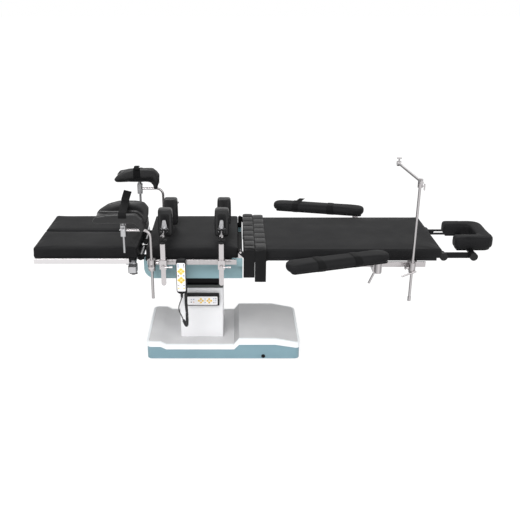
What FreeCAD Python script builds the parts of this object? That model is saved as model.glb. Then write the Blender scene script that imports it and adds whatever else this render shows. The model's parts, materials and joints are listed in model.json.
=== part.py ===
import FreeCAD, Part
import math
import os
import re
import Sketcher
from FreeCAD import Placement, Rotation, Vector

# An operating table with an electro-hydraulic column, in millimetres.
# X runs along the table from the leg end to the head end, Y across it, Z up.
# The origin is on the floor under the middle of the column.

# Driving sizes: name, value, what it is. A value that starts with = follows other sizes.
SIZES = [
    ("plate_half", 240, "half width of the plates under the pads"),
    ("pad_over", 7, "how far the pads stand past their plates on each side"),
    ("pad_half", "=plate_half + pad_over", "half width of the table pads"),
    ("pad_top", 620, "top of the seat and leg pads over the floor"),
    ("pad_corner", 14, "corner radius of a pad seen from above"),
    ("pad_round", 9, "radius along a pad's top edges"),
    ("soft_gap", 0.3, "air between a pad and the plate under it"),
    ("seat_left", -254, "leg end of the seat pad"),
    ("seat_right", 185, "head end of the seat pad"),
    ("leg_end", -780, "foot end of the leg pads"),
    ("leg_root", -285, "seat end of the leg pads, over the leg hinge"),
    ("leg_split", 1.5, "half of the gap between the two leg pads"),
    ("back_root", 201, "seat end of the back pad"),
    ("back_end", 1138, "head end of the back pad"),
    ("back_top", 613, "top of the back pad"),
    ("plate_top", 567, "top of the seat and leg plates"),
    ("plate_depth", 14, "depth of the seat and leg plates"),
    ("back_plate_top", 566, "top of the back plate"),
    ("back_plate_depth", 12, "depth of the back plate"),
    ("rail_height", 25, "height of a side rail"),
    ("rail_thick", 10, "thickness of a side rail"),
    ("rail_stand", 40, "outer face of the side rails past the plates"),
    ("rail_face", "=plate_half + rail_stand", "outer face of the side rails from the centreline"),
    ("seat_rail_foot", 549, "underside of the seat rails"),
    ("back_rail_foot", 538, "underside of the back rails"),
    ("leg_rail_foot", 554, "underside of the leg rails"),
    ("seat_rail_left", -240, "leg end of the seat rails"),
    ("seat_rail_right", 174, "head end of the seat rails"),
    ("back_rail_left", 450, "seat end of the back rails"),
    ("back_rail_right", 1051, "head end of the back rails"),
    ("leg_rail_left", -766, "foot end of the leg rails"),
    ("leg_rail_right", -325, "seat end of the leg rails"),
    ("fit_gap", 0.3, "gap between covers that are dropped into each other"),
    ("slide_gap", 0.15, "gap round a flat bar that slides"),
    ("run_gap", 0.05, "gap round a pin that turns"),
    ("base_left", -272, "leg end of the base skirt"),
    ("base_right", 488, "head end of the base skirt"),
    ("base_half", 205, "half width of the base skirt"),
    ("base_corner", 24, "corner radius of the base skirt"),
    ("skirt_fall", 0.16, "fall of the skirt's edge at the head end, over its length"),
    ("rim_fall", 0.2, "fall of the rim's edge at the head end, over its length"),
    ("skirt_foot", 12, "lower edge of the skirt over the floor"),
    ("skirt_wall", 4, "wall of the base skirt"),
    ("rim_over", 3, "overhang of the rim past the skirt"),
    ("rim_wall", 12, "width of the rim"),
    ("cover_thick", 5, "wall of the base cover"),
    ("frame_foot", 40, "underside of the base plate"),
    ("frame_top", 50, "top of the base plate"),
    ("column_x", 108, "half width of the column cover along the table"),
    ("column_y", 117, "half width of the column cover across the table"),
    ("column_top", 360, "top of the column cover"),
    ("column_corner", 8, "corner radius of the column cover"),
    ("tube_wall", 3, "wall of the column's telescopic tubes"),
    ("tube_gap", 3.5, "gap between one column tube and the next"),
    ("collar_depth", 16, "depth of the grey collar"),
    ("head_plate_top", 440, "top of the plate that closes the upper tube"),
    ("head_plate_thick", 12, "thickness of that plate"),
    ("panel_left", -75, "leg end of the control panel's case"),
    ("panel_right", 89, "head end of the control panel's case"),
    ("panel_foot", 271, "underside of the control panel's case"),
    ("panel_top", 334, "top of the control panel's case"),
    ("panel_depth", 18, "how far the control panel stands out of the column"),
    ("tilt_axis", 512, "height of the two tilt axes"),
    ("tilt_pin", 12, "radius of the tilt pins"),
    ("cheek_inner", 52, "inner face of a yoke cheek or tilt lug"),
    ("cheek_thick", 12, "thickness of a yoke cheek or tilt lug"),
    ("cheek_round", 22, "radius of the rounded end of a cheek or lug"),
    ("beam_left", -262, "leg end of the seat beam"),
    ("beam_right", 202, "head end of the seat beam"),
    ("beam_half", 235, "half width of the seat beam"),
    ("beam_foot", 462, "underside of the seat beam"),
    ("beam_wall", 4, "wall of the seat beam"),
    ("beam_curve", 52, "radius of the beam's lower leg corner"),
    ("leg_axis_z", 545, "height of the leg hinge"),
    ("leg_pin", 8, "radius of the leg hinge pins"),
    ("splay_x", -315, "splay pivot along the table"),
    ("splay_y", "=plate_half - 25", "splay pivot from the centreline"),
    ("back_axis_x", 192, "back hinge along the table"),
    ("back_axis_z", 602, "height of the back hinge"),
    ("back_pin", 5, "radius of the back hinge pins"),
    ("hinge_lug", 5, "thickness of a back hinge lug"),
    ("hinge_round", 10, "radius round the back hinge pin"),
    ("seat_lug_y", "=pad_half + 1.5", "inner face of the seat's back-hinge lugs"),
    ("rod_radius", 6.5, "radius of a stirrup rod"),
    ("stirrup_x", -216, "stirrup rod along the table"),
    ("stirrup_y", "=rail_face + 30", "stirrup rod from the centreline"),
    ("stirrup_foot", 393, "lower end of a stirrup rod"),
    ("stirrup_bend", 35, "bend radius of a stirrup rod"),
    ("near_stirrup", 730, "height of the near stirrup's upper arm"),
    ("far_stirrup", 747, "height of the far stirrup's upper arm"),
    ("crutch_x", -337, "crutch post along the table"),
    ("crutch_post", 6, "radius of the crutch post"),
    ("crutch_rise", 50, "crutch underside over the stirrup's upper arm"),
    ("crutch_half", 60, "half width of a crutch"),
    ("crutch_skin", 16, "thickness of a crutch's floor and walls"),
    ("post_wide", 22, "width of a side support's flat post"),
    ("post_thick", 8, "thickness of a side support's flat post"),
    ("post_y", "=rail_face + 22", "middle of a side support's post from the centreline"),
    ("post_foot", 455, "lower end of a near side support's post"),
    ("post_top", 663, "upper end of the flat part of a near post"),
    ("far_drop", 8, "how much lower the far side supports stand"),
    ("arm_rise", 29, "height of a support's arm over its flat post"),
    ("arm_radius", 4, "radius of a side support's arm"),
    ("near_pad_y", 135, "middle of the near side pads from the centreline"),
    ("far_pad_y", 60, "middle of the far side pads from the centreline"),
    ("side_pad_wide", 67, "width of a side pad"),
    ("side_pad_tall", 140, "height of a side pad"),
    ("side_pad_thick", 38, "thickness of a side pad"),
    ("side_pad_drop", 52, "how far a side pad hangs below its pivot"),
    ("clevis_gap", 24, "from a side pad's face to its pivot"),
    ("clevis_lug", 8, "thickness of the lug between a clevis's cheeks"),
    ("board_x", 820, "arm board pivot along the table"),
    ("board_near_y", "=rail_face + 55", "near arm board pivot from the centreline"),
    ("board_far_y", "=rail_face + 72", "far arm board pivot from the centreline"),
    ("board_foot", 589, "underside of the arm board plates"),
    ("board_plate", 8, "thickness of an arm board plate"),
    ("board_reach", 450, "arm board length on the long side of its pivot"),
    ("board_tail", 45, "arm board length on the short side of its pivot"),
    ("board_wide", 94, "width of an arm board pad"),
    ("board_pad", 35, "thickness of an arm board pad"),
    ("board_pin", 8, "radius of the arm board pivot"),
    ("near_board_turn", 17.5, "near arm board's angle from the table, degrees"),
    ("far_board_turn", -13, "far arm board's angle from the table, degrees"),
    ("screen_x", 982, "screen post along the table"),
    ("screen_y", "=rail_face + 30", "screen post from the centreline"),
    ("screen_radius", 6, "radius of the screen rods"),
    ("screen_foot", 381, "lower end of the screen post"),
    ("screen_top", 930, "upper end of the screen post"),
    ("head_axis_x", 1160, "lower headrest joint along the table"),
    ("head_reach", 143, "length of the headrest arms between joints"),
    ("head_axis_z", 553, "height of the headrest joints"),
    ("head_arm_y", 160, "inner face of a headrest arm"),
    ("head_arm_thick", 12, "thickness of a headrest arm"),
    ("head_pin", 7, "radius of the headrest pins"),
    ("head_knob", 19, "radius of the headrest knobs"),
    ("cushion_left", 1225, "table end of the head cushion"),
    ("cushion_right", 1420, "far end of the head cushion"),
    ("cushion_half", 140, "half width of the head cushion"),
    ("cushion_slot", 68, "half width of the gap in the head cushion"),
    ("cushion_corner", 58, "radius of the head cushion's two outer corners"),
    ("cushion_foot", 572, "underside of the head cushion"),
    ("cushion_top", 620, "top of the head cushion"),
    ("strap_left", 207, "seat side of the first body strap"),
    ("strap_wide", 50, "width of a body strap"),
    ("strap_step", 54, "spacing of the body straps"),
    ("strap_thick", 4, "thickness of a body strap"),
    ("strap_inner", "=plate_half + 20", "inner face of a strap's hanging end"),
    ("pendant_x", -82.5, "middle of the hand control"),
    ("pendant_wide", 45, "width of the hand control"),
    ("pendant_thick", 26, "thickness of the hand control"),
    ("pendant_foot", 417, "lower end of the hand control's case"),
    ("pendant_top", 585, "upper end of the hand control's case"),
    ("cord_radius", 3, "radius of the hand control's straight cord"),
    ("coil_radius", 7.5, "outer radius of its curly stretch"),
    ("socket_y", "=25 - beam_half", "hand control's socket across the table"),
    ("inlet_x", 308, "power inlet along the table"),
    ("inlet_z", 26, "height of the power inlet"),
    ("inlet_bore", 5, "radius of the hole in the power inlet"),
    ("foot_radius", 26, "radius of a floor foot"),
    ("lift_rod_radius", 14, "radius of the lift cylinder's rod"),
]

# The base's stepped outline: along the table, skirt edge height, rim edge height
BASE_STEPS = [
    (-204, 78, 106),
    (-176, 64, 91),
    (162, 64, 91),
    (187, 90, 124),
    (366, 90, 124),
]

DOC = FreeCAD.newDocument("OperatingTable")
SHEET = DOC.addObject("Spreadsheet::Sheet", "Sizes")
NAMES = {name for name, _, _ in SIZES}
NODES = []
UP = Vector(0, 0, 1)
ALONG = Vector(1, 0, 0)
ACROSS = Vector(0, 1, 0)
TURNS = {
    "x": Rotation(ACROSS, 90),
    "y": Rotation(ALONG, -90),
    "z": Rotation(),
}
PLANES = {"xy": ("XY_Plane", 1), "xz": ("XZ_Plane", -1), "yz": ("YZ_Plane", 1)}


def fill_sheet():
    """Writes each driving size into its own cell and gives the cell its name."""
    for row, (name, size, meaning) in enumerate(SIZES, start=1):
        SHEET.set(f"A{row}", meaning)
        SHEET.set(f"B{row}", str(size))
        SHEET.setAlias(f"B{row}", name)
    DOC.recompute()


def formula(rule):
    """A rule in the sizes' names as an expression that reads the sheet."""
    return re.sub(r"[a-z]\w*", lambda w: "Sizes." + w.group() if w.group() in NAMES else w.group(), str(rule))


def value(rule):
    """The number that a rule gives now."""
    return float(SHEET.evalExpression(formula(rule)))


def bind(thing, **rules):
    """Ties properties to rules; a double underscore stands for a dot."""
    for path, rule in rules.items():
        thing.setExpression(path.replace("__", "."), formula(rule))


def place(thing, x, y, z):
    bind(thing, Placement__Base__x=x, Placement__Base__y=y, Placement__Base__z=z)


def box(x0, x1, y0, y1, z0, z1):
    """A block between two rules on each axis."""
    block = DOC.addObject("Part::Box", "block")
    bind(block, Length=f"({x1}) - ({x0})", Width=f"({y1}) - ({y0})", Height=f"({z1}) - ({z0})")
    place(block, x0, y0, z0)
    return block


def rod(axis, radius, start, end, across):
    """A cylinder along one axis from start to end; across gives its other two places, in X, Y, Z order."""
    bar = DOC.addObject("Part::Cylinder", "bar")
    bind(bar, Radius=radius, Height=f"({end}) - ({start})")
    bar.Placement = Placement(Vector(), TURNS[axis])
    spots = list(across)
    spots.insert("xyz".index(axis), start)
    place(bar, *spots)
    return bar


def leaning_rod(radius, start, end):
    """A cylinder between two points that are given in millimetres."""
    run = Vector(*end) - Vector(*start)
    bar = DOC.addObject("Part::Cylinder", "bar")
    bind(bar, Radius=radius)
    bar.Height = run.Length
    bar.Placement = Placement(Vector(*start), Rotation(UP, run))
    return bar


def cone(axis, radius, tip_radius, start, end, across):
    """A tapered round bar, made as rod is."""
    bar = DOC.addObject("Part::Cone", "taper")
    bind(bar, Radius1=radius, Radius2=tip_radius, Height=f"({end}) - ({start})")
    bar.Placement = Placement(Vector(), TURNS[axis])
    spots = list(across)
    spots.insert("xyz".index(axis), start)
    place(bar, *spots)
    return bar


def join(*parts):
    whole = DOC.addObject("Part::MultiFuse", "joined")
    whole.Shapes = list(parts)
    whole.Refine = True
    return whole


def cut(body, *tools):
    rest = DOC.addObject("Part::Cut", "cut")
    rest.Base = body
    rest.Tool = tools[0] if len(tools) == 1 else join(*tools)
    rest.Refine = True
    return rest


def mirror(source):
    """The same piece on the other side of the table."""
    twin = DOC.addObject("Part::Mirroring", "mirrored")
    twin.Source = source
    twin.Normal = ACROSS
    twin.Base = Vector()
    return twin


def group(*parts):
    """Several solids of one node, such as a set of like fasteners."""
    bunch = DOC.addObject("Part::Compound", "group")
    bunch.Links = list(parts)
    return bunch


def node(name, thing):
    """Names a finished sub-part; its file takes the name."""
    thing.Label = name
    NODES.append(thing)
    return thing


def pair(name, near):
    """A near piece and its mirrored far twin, each in its own node."""
    return node(name + "_near", near), node(name + "_far", mirror(near))


def edges_along(shape, axis, spots):
    """Names of the straight edges along axis that stand at one of the given spots of the other two axes."""
    found = []
    for number, edge in enumerate(shape.Edges, start=1):
        run = edge.lastVertex().Point - edge.firstVertex().Point if len(edge.Vertexes) == 2 else Vector()
        if run.Length < 1e-6 or abs(abs(run.normalize()[axis]) - 1) > 1e-6:
            continue
        at = [c for k, c in enumerate(edge.firstVertex().Point) if k != axis]
        if any(math.dist(at, spot) < 0.01 for spot in spots):
            found.append(f"Edge{number}")
    return found


def outline_sketch(body, plane, outline, offset):
    """A closed sketch with straight sides whose corners are tied to the sheet."""
    role, _ = PLANES[plane]
    sketch = body.newObject("Sketcher::SketchObject", "outline")
    origin = next(f for f in body.Origin.OriginFeatures if f.Role == role)
    sketch.AttachmentSupport = (origin, [""])
    sketch.MapMode = "FlatFace"
    sketch.setExpression("AttachmentOffset.Base.z", formula(offset))
    spots = [(value(u), value(v)) for u, v in outline]
    count = len(spots)
    for k, (u, v) in enumerate(spots):
        after = spots[(k + 1) % count]
        sketch.addGeometry(Part.LineSegment(Vector(u, v, 0), Vector(after[0], after[1], 0)))
    for k in range(count):
        sketch.addConstraint(Sketcher.Constraint("Coincident", k, 2, (k + 1) % count, 1))
    for k, (u, v) in enumerate(outline):
        for kind, rule, now in (("DistanceX", u, spots[k][0]), ("DistanceY", v, spots[k][1])):
            number = sketch.addConstraint(Sketcher.Constraint(kind, -1, 1, k, 1, now))
            sketch.setExpression(f"Constraints[{number}]", formula(rule))
    return sketch, spots


def prism(plane, outline, start, end, rounds=()):
    """An outline carried from start to end; rounds holds (radius, corner numbers) for its long edges."""
    body = DOC.addObject("PartDesign::Body", "body")
    offset = f"-({end})" if plane == "xz" else start
    sketch, spots = outline_sketch(body, plane, outline, offset)
    pad = body.newObject("PartDesign::Pad", "pad")
    pad.Profile = sketch
    bind(pad, Length=f"({end}) - ({start})")
    DOC.recompute()
    axis = {"xy": 2, "xz": 1, "yz": 0}[plane]
    last = pad
    for radius, corners in rounds:
        names = edges_along(last.Shape, axis, [spots[c] for c in corners])
        last = fillet(body, last, names, radius)
    return body


def fillet(body, feature, names, radius):
    """Rounds the named edges of a feature inside its body."""
    rounded = body.newObject("PartDesign::Fillet", "round")
    rounded.Base = (feature, names)
    bind(rounded, Radius=radius)
    DOC.recompute()
    body.Tip = rounded
    return rounded


def rectangle(x0, x1, y0, y1):
    return [(x0, y0), (x1, y0), (x1, y1), (x0, y1)]


def cushion(plane_outline, z0, z1, corner, edge, rounds=None):
    """An upholstered pad: a prism with round corners and soft upper and lower edges."""
    rounds = rounds or [(corner, list(range(len(plane_outline))))]
    body = prism("xy", plane_outline, z0, z1, rounds)
    top, foot = value(z1), value(z0)
    names = [
        f"Edge{n}"
        for n, e in enumerate(body.Shape.Edges, start=1)
        if all(min(abs(v.Z - top), abs(v.Z - foot)) < 0.01 for v in e.Vertexes)
        and abs(e.Vertexes[0].Z - e.Vertexes[-1].Z) < 0.01
    ]
    fillet(body, body.Tip, names, edge)
    return body


def base_chain(index, left, right):
    """The stepped line along the base as (x, z) rules; index 1 is the skirt's edge and 2 the rim's."""
    steps = [(step[0], step[index]) for step in BASE_STEPS]
    fall = "skirt_fall" if index == 1 else "rim_fall"
    x_last, z_last = steps[-1]
    return [(left, steps[0][1])] + steps + [(right, f"{z_last} - {fall} * ({right} - {x_last})")]


def make_base():
    """The plate, skirt, rim and cover of the base with its feet, inlet and hydraulic unit."""
    inner = [
        ("base_left + skirt_wall", "-(base_half - skirt_wall)"),
        ("base_right - skirt_wall", "-(base_half - skirt_wall)"),
        ("base_right - skirt_wall", "base_half - skirt_wall"),
        ("base_left + skirt_wall", "base_half - skirt_wall"),
    ]
    inside = prism("xy", inner, 0, 200, [("base_corner - skirt_wall", [0, 1, 2, 3])])
    wall = [("base_left", "skirt_foot"), ("base_right", "skirt_foot")]
    wall += base_chain(1, "base_left", "base_right")[::-1]
    shell = prism("xz", wall, "-base_half", "base_half")
    shell = round_base(shell, "base_left", "base_right", "base_half", "base_corner")
    inlet_hole = rod("y", "inlet_bore + 3 + slide_gap", "-base_half - 10", "-base_half + 20", ("inlet_x", "inlet_z"))
    node("base_skirt", cut(shell, inside, inlet_hole))

    low = base_chain(1, "base_left - rim_over", "base_right + rim_over")
    high = base_chain(2, "base_left - rim_over", "base_right + rim_over")
    band = prism("xz", low + high[::-1], "-base_half - rim_over", "base_half + rim_over")
    band = round_base(
        band, "base_left - rim_over", "base_right + rim_over", "base_half + rim_over", "base_corner + rim_over"
    )
    reach = "rim_wall - rim_over"
    hollow = rectangle(
        f"base_left + {reach}", f"base_right - ({reach})", f"-base_half + {reach}", f"base_half - ({reach})"
    )
    well = prism("xy", hollow, 0, 200, [(f"base_corner - ({reach})", [0, 1, 2, 3])])
    node("base_rim", cut(band, well))

    inset = f"{reach} + fit_gap"
    left, right = f"base_left + {inset}", f"base_right - ({inset})"
    top = base_chain(2, left, right)
    under = [(x, f"{z} - cover_thick") for x, z in top]
    sheet = prism("xz", under + top[::-1], f"-base_half + {inset}", f"base_half - ({inset})")
    sheet = round_base(sheet, left, right, f"base_half - ({inset})", f"base_corner - ({inset})")
    opening = box(
        "-column_x - fit_gap", "column_x + fit_gap", "-column_y - fit_gap", "column_y + fit_gap", 0, 200
    )
    node("base_cover", cut(sheet, opening))

    plate = prism("xy", inner, "frame_foot", "frame_top", [("base_corner - skirt_wall", [0, 1, 2, 3])])
    ribs = [box("base_left + 30", "base_right - 30", f"{y} - 4", f"{y} + 4", 22, "frame_foot") for y in (-110, 110)]
    cross = [box(f"{x} - 4", f"{x} + 4", -150, 150, 22, "frame_foot") for x in (-150, 130, 330)]
    node("base_frame", join(plate, *ribs, *cross))

    feet = []
    for x in ("base_left + 50", "base_right - 50"):
        for y in (-155, 155):
            pad = cone("z", "foot_radius", "foot_radius - 5", 0, 12, (x, y))
            feet.append(join(pad, rod("z", 11, 12, "frame_foot", (x, y))))
    node("floor_feet", group(*feet))

    flange = rod("y", "inlet_bore + 5", "-base_half - 2", "-base_half", ("inlet_x", "inlet_z"))
    barrel = rod("y", "inlet_bore + 3", "-base_half", "-base_half + 18", ("inlet_x", "inlet_z"))
    hole = rod("y", "inlet_bore", "-base_half - 4", "-base_half + 12", ("inlet_x", "inlet_z"))
    node("power_inlet", cut(join(flange, barrel), hole))
    make_hydraulics()


def round_base(body, left, right, half, radius):
    """Rounds the four upright corner edges of a base moulding."""
    spots = [(value(x), value(y)) for x in (left, right) for y in (half, f"-({half})")]
    names = edges_along(body.Shape, 2, spots)
    fillet(body, body.Tip, names, radius)
    return body


def make_hydraulics():
    """The lift cylinder in the column, and the pump with its tank under the high end of the cover."""
    sleeve = rod("z", "lift_rod_radius + 12", "frame_top", 330, (0, 0))
    gland = rod("z", "lift_rod_radius + 16", 318, 336, (0, 0))
    flange = rod("z", "lift_rod_radius + 34", "frame_top", 62, (0, 0))
    bore = rod("z", "lift_rod_radius + run_gap", 60, 400, (0, 0))
    cylinder = cut(join(sleeve, gland, flange), bore)
    tank = prism("xy", rectangle(230, 400, 20, 160), "frame_top", 98, [(12, [0, 1, 2, 3])])
    filler = rod("z", 14, 98, 106, (260, 130))
    motor = rod("x", 26, 262, 400, (-70, 80))
    pump = box(215, 262, -100, -40, "frame_top", 108)
    cradle = box(300, 370, -92, -48, "frame_top", 62)
    node("hydraulic_unit", group(cylinder, join(tank, filler), join(motor, pump, cradle)))


def tube(x_half, y_half, corner, z0, z1, wall="tube_wall"):
    """A rectangular telescopic tube with rounded corners."""
    outer = prism("xy", rectangle(f"-({x_half})", x_half, f"-({y_half})", y_half), z0, z1, [(corner, [0, 1, 2, 3])])
    x_in, y_in = f"{x_half} - {wall}", f"{y_half} - {wall}"
    inner = rectangle(f"-({x_in})", x_in, f"-({y_in})", y_in)
    hollow = prism("xy", inner, f"{z0} - 5", f"{z1} + 5", [(f"{corner} - {wall}", [0, 1, 2, 3])])
    return outer, hollow


def make_column():
    """The fixed cover with its collar and control panel, and the two tubes that rise out of it."""
    outer, hollow = tube("column_x", "column_y", "column_corner", "frame_top", "column_top")
    node("column_cover", cut(outer, hollow))
    step = "tube_wall + tube_gap"
    mid_x, mid_y = f"column_x - ({step})", f"column_y - ({step})"
    ring, _ = tube("column_x", "column_y", "column_corner", "column_top", "column_top + collar_depth")
    throat = rectangle(f"-({mid_x} + fit_gap)", f"{mid_x} + fit_gap", f"-({mid_y} + fit_gap)", f"{mid_y} + fit_gap")
    mouth = prism("xy", throat, "column_top - 5", "column_top + collar_depth + 5", [("column_corner - 3", [0, 1, 2, 3])])
    node("column_collar", cut(ring, mouth))

    outer, hollow = tube(mid_x, mid_y, "column_corner - 3", 100, "column_top + collar_depth - 2")
    node("mid_column", cut(outer, hollow))

    top_x, top_y = f"{mid_x} - ({step})", f"{mid_y} - ({step})"
    outer, hollow = tube(top_x, top_y, "column_corner - 4", 112, "head_plate_top")
    lid = box(
        f"-({top_x}) + 1", f"{top_x} - 1", f"-({top_y}) + 1", f"{top_y} - 1",
        "head_plate_top - head_plate_thick", "head_plate_top",
    )
    cheeks = []
    for side in (-1, 1):
        inner, outside = f"{side} * cheek_inner", f"{side} * (cheek_inner + cheek_thick)"
        low, high = (outside, inner) if side < 0 else (inner, outside)
        cheeks.append(box(-32, 32, low, high, "head_plate_top - 2", "tilt_axis - 30"))
        cheeks.append(prism("xz", [(-32, "tilt_axis - 30"), (32, "tilt_axis - 30"), ("cheek_round", "tilt_axis"),
                                   ("-cheek_round", "tilt_axis")], low, high))
        cheeks.append(rod("y", "cheek_round", low, high, (0, "tilt_axis")))
    bores = rod("y", "tilt_pin + run_gap", -100, 100, (0, "tilt_axis"))
    node("top_column", cut(join(cut(outer, hollow), lid, *cheeks), bores))
    node("lift_rod", rod("z", "lift_rod_radius", 75, "head_plate_top - head_plate_thick", (0, 0)))

    front = "-column_y - panel_depth"
    face = prism("xz", rectangle("panel_left", "panel_right", "panel_foot", "panel_top"), front, "-column_y",
                 [(5, [0, 1, 2, 3])])
    node("control_panel", face)
    keys = prism("xz", rectangle("panel_left + 6", "panel_right - 9", "panel_foot + 5", "panel_top - 13"),
                 f"{front} - 1", front, [(3, [0, 1, 2, 3])])
    node("panel_keypad", keys)


def make_tilt_cross():
    """The cross that lets the seat beam tip end to end on its Y pins and side to side on its X pins."""
    core = prism("xy", rectangle(-28, 28, -28, 28), "tilt_axis - 22", "tilt_axis + 22", [(8, [0, 1, 2, 3])])
    reach = "cheek_inner + cheek_thick + 2"
    long_pin = rod("y", "tilt_pin", f"-({reach})", reach, (0, "tilt_axis"))
    cross_pin = rod("x", "tilt_pin", f"-({reach})", reach, (0, "tilt_axis"))
    collars = [rod("y", 18, -51, 51, (0, "tilt_axis")), rod("x", 18, -51, 51, (0, "tilt_axis"))]
    node("tilt_cross", join(core, long_pin, cross_pin, *collars))


def rail(left, right, foot, plate_side, stud_z, studs, stud_radius):
    """A side rail with the round spacers that hold it off its plate."""
    inner = "-(rail_face - rail_thick)"
    bar = prism("yz", rectangle("-rail_face", inner, foot, f"{foot} + rail_height"), left, right,
                [(1.5, [0, 1, 2, 3])])
    spacers = [rod("y", stud_radius, f"{inner} - 1", f"-({plate_side})", (x, stud_z)) for x in studs]
    return join(bar, *spacers)


def make_seat():
    """The seat beam, its plate, pad and rails."""
    profile = [("beam_left", "plate_top - plate_depth"), ("beam_left", "beam_foot"), ("beam_right", "beam_foot"),
               ("beam_right", "plate_top - plate_depth")]
    shell = prism("xz", profile, "-beam_half", "beam_half", [("beam_curve", [1])])
    well = rectangle("beam_left + beam_wall", "beam_right - beam_wall", "-beam_half + beam_wall",
                     "beam_half - beam_wall")
    hollow = prism("xy", well, 400, 600)
    windows = [box("beam_left - 5", "beam_left + 30", y0, y1, 526, 600) for y0, y1 in ((-186, -30), (30, 186))]
    lugs = []
    outer_face = "seat_lug_y + hinge_lug"
    for side in (-1, 1):
        ends = sorted((f"{side} * ({rule})" for rule in ("beam_half - 2", outer_face)), key=value)
        lugs.append(box(152, "beam_right", ends[0], ends[1], 530, "plate_top - plate_depth - soft_gap"))
        ends = sorted((f"{side} * ({rule})" for rule in ("seat_lug_y", outer_face)), key=value)
        lugs.append(box(152, "beam_right", ends[0], ends[1], 530, 574))
        lugs.append(box("back_axis_x - hinge_round", "back_axis_x + hinge_round", ends[0], ends[1], 545,
                        "back_axis_z"))
        lugs.append(rod("y", "hinge_round", ends[0], ends[1], ("back_axis_x", "back_axis_z")))
        faces = ("seat_lug_y + 1", f"{outer_face} + hinge_lug + 1")
        ends = sorted((f"{side} * ({rule})" for rule in faces), key=value)
        lugs.append(rod("y", "back_pin", ends[0], ends[1], ("back_axis_x", "back_axis_z")))
    node("seat_beam", join(cut(shell, hollow, *windows), *lugs))

    plate = box("seat_left + 4", "seat_right - 3", "-plate_half", "plate_half", "plate_top - plate_depth",
                "plate_top")
    sill = box("seat_right - 4", "beam_right - 2", -150, 150, "plate_top - plate_depth", "plate_top - 7")
    tilt_lugs = []
    for side in (-1, 1):
        low, high = sorted((f"{side} * cheek_inner", f"{side} * (cheek_inner + cheek_thick)"), key=value)
        tilt_lugs.append(box(low, high, -28, 28, "tilt_axis + 5", "plate_top - plate_depth + 2"))
        tilt_lugs.append(prism("yz", [("-cheek_round", "tilt_axis"), ("cheek_round", "tilt_axis"),
                                      (28, "tilt_axis + 10"), (-28, "tilt_axis + 10")], low, high))
        tilt_lugs.append(rod("x", "cheek_round", low, high, (0, "tilt_axis")))
    bore = rod("x", "tilt_pin + run_gap", -100, 100, (0, "tilt_axis"))
    leg_lugs = []
    for side in (-1, 1):
        for y in (38, 168):
            low, high = sorted((side * y, side * (y + 10)))
            leg_lugs.append(box("leg_root", "seat_left + 6", low, high, "leg_axis_z - 10", "leg_axis_z + 14"))
            leg_lugs.append(rod("y", 14, low, high, ("leg_root", "leg_axis_z")))
        low, high = sorted((side * 38, side * 178))
        leg_lugs.append(rod("y", "leg_pin", low, high, ("leg_root", "leg_axis_z")))
    node("seat_frame", join(plate, sill, cut(join(*tilt_lugs), bore), *leg_lugs))

    seat = cushion(rectangle("seat_left", "seat_right", "-pad_half", "pad_half"), "plate_top + soft_gap", "pad_top",
                   "pad_corner", "pad_round")
    node("seat_pad", seat)
    near = rail("seat_rail_left", "seat_rail_right", "seat_rail_foot", "plate_half", "plate_top - plate_depth / 2",
                (-205, -30, 135), 6)
    node("seat_rails", group(near, mirror(near)))


def jaws(x, half, foot, front):
    """The block of a rail clamp with the two lips that hook over a near rail."""
    face = "-rail_face"
    body = box(f"{x} - {half}", f"{x} + {half}", front, face, f"{foot} - 9", f"{foot} + rail_height + 9")
    lips = [
        box(f"{x} - {half}", f"{x} + {half}", f"{face} - 2", f"{face} + rail_thick + 4", z0, z1)
        for z0, z1 in ((f"{foot} - 8", foot), (f"{foot} + rail_height", f"{foot} + rail_height + 8"))
    ]
    hook = box(f"{x} - {half}", f"{x} + {half}", f"{face} + rail_thick", f"{face} + rail_thick + 4",
               f"{foot} + rail_height - 6", f"{foot} + rail_height + 8")
    return [body, *lips, hook]


def support_clamp(x):
    """A rail clamp for a side support, with its slot and its small lever."""
    slot = box(f"{x} - post_wide / 2 - slide_gap", f"{x} + post_wide / 2 + slide_gap",
               "-post_y - post_thick / 2 - slide_gap", "-post_y + post_thick / 2 + slide_gap", 400, 700)
    hub = rod("y", 8, "-post_y - 24", "-post_y - 13", (x, "seat_rail_foot + 4"))
    lever = rod("x", 3.5, x, f"{x} + 40", ("-post_y - 19", "seat_rail_foot + 4"))
    grip = rod("x", 5, f"{x} + 28", f"{x} + 44", ("-post_y - 19", "seat_rail_foot + 4"))
    block = jaws(x, "(post_wide / 2 + 5)", "seat_rail_foot", "-post_y - 14")
    return cut(join(*block, hub, lever, grip), slot)


def stirrup_clamp():
    """A rail clamp with a round socket for a stirrup rod and two wing screws."""
    x, y, z = "stirrup_x", "-stirrup_y", "seat_rail_foot + 6"
    boss = rod("z", "rod_radius + 10", "seat_rail_foot - 14", "seat_rail_foot + 38", (x, y))
    bore = rod("z", "rod_radius + run_gap", 400, 700, (x, y))
    screw = rod("y", 4, f"{y} - 32", f"{y} - 12", (x, z))
    wing = prism("xz", [("stirrup_x - 16", f"{z} + 6"), ("stirrup_x - 5", f"{z} - 5"), ("stirrup_x + 5", f"{z} - 5"),
                        ("stirrup_x + 16", f"{z} + 6"), ("stirrup_x + 4", f"{z} + 5"), ("stirrup_x - 4", f"{z} + 5")],
                 f"{y} - 31", f"{y} - 26")
    side_screw = rod("x", 4, "stirrup_x + 12", "stirrup_x + 24", ("-rail_face - 8", "seat_rail_foot + 12"))
    side_knob = rod("x", 8, "stirrup_x + 22", "stirrup_x + 29", ("-rail_face - 8", "seat_rail_foot + 12"))
    return cut(join(*jaws(x, 15, "seat_rail_foot", f"{y} + 4"), boss, screw, wing, side_screw, side_knob), bore)


# Middle of each side support along the table
SUPPORTS = {"near_left": -164, "near_right": 104, "far_left": -153, "far_right": 112}


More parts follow.
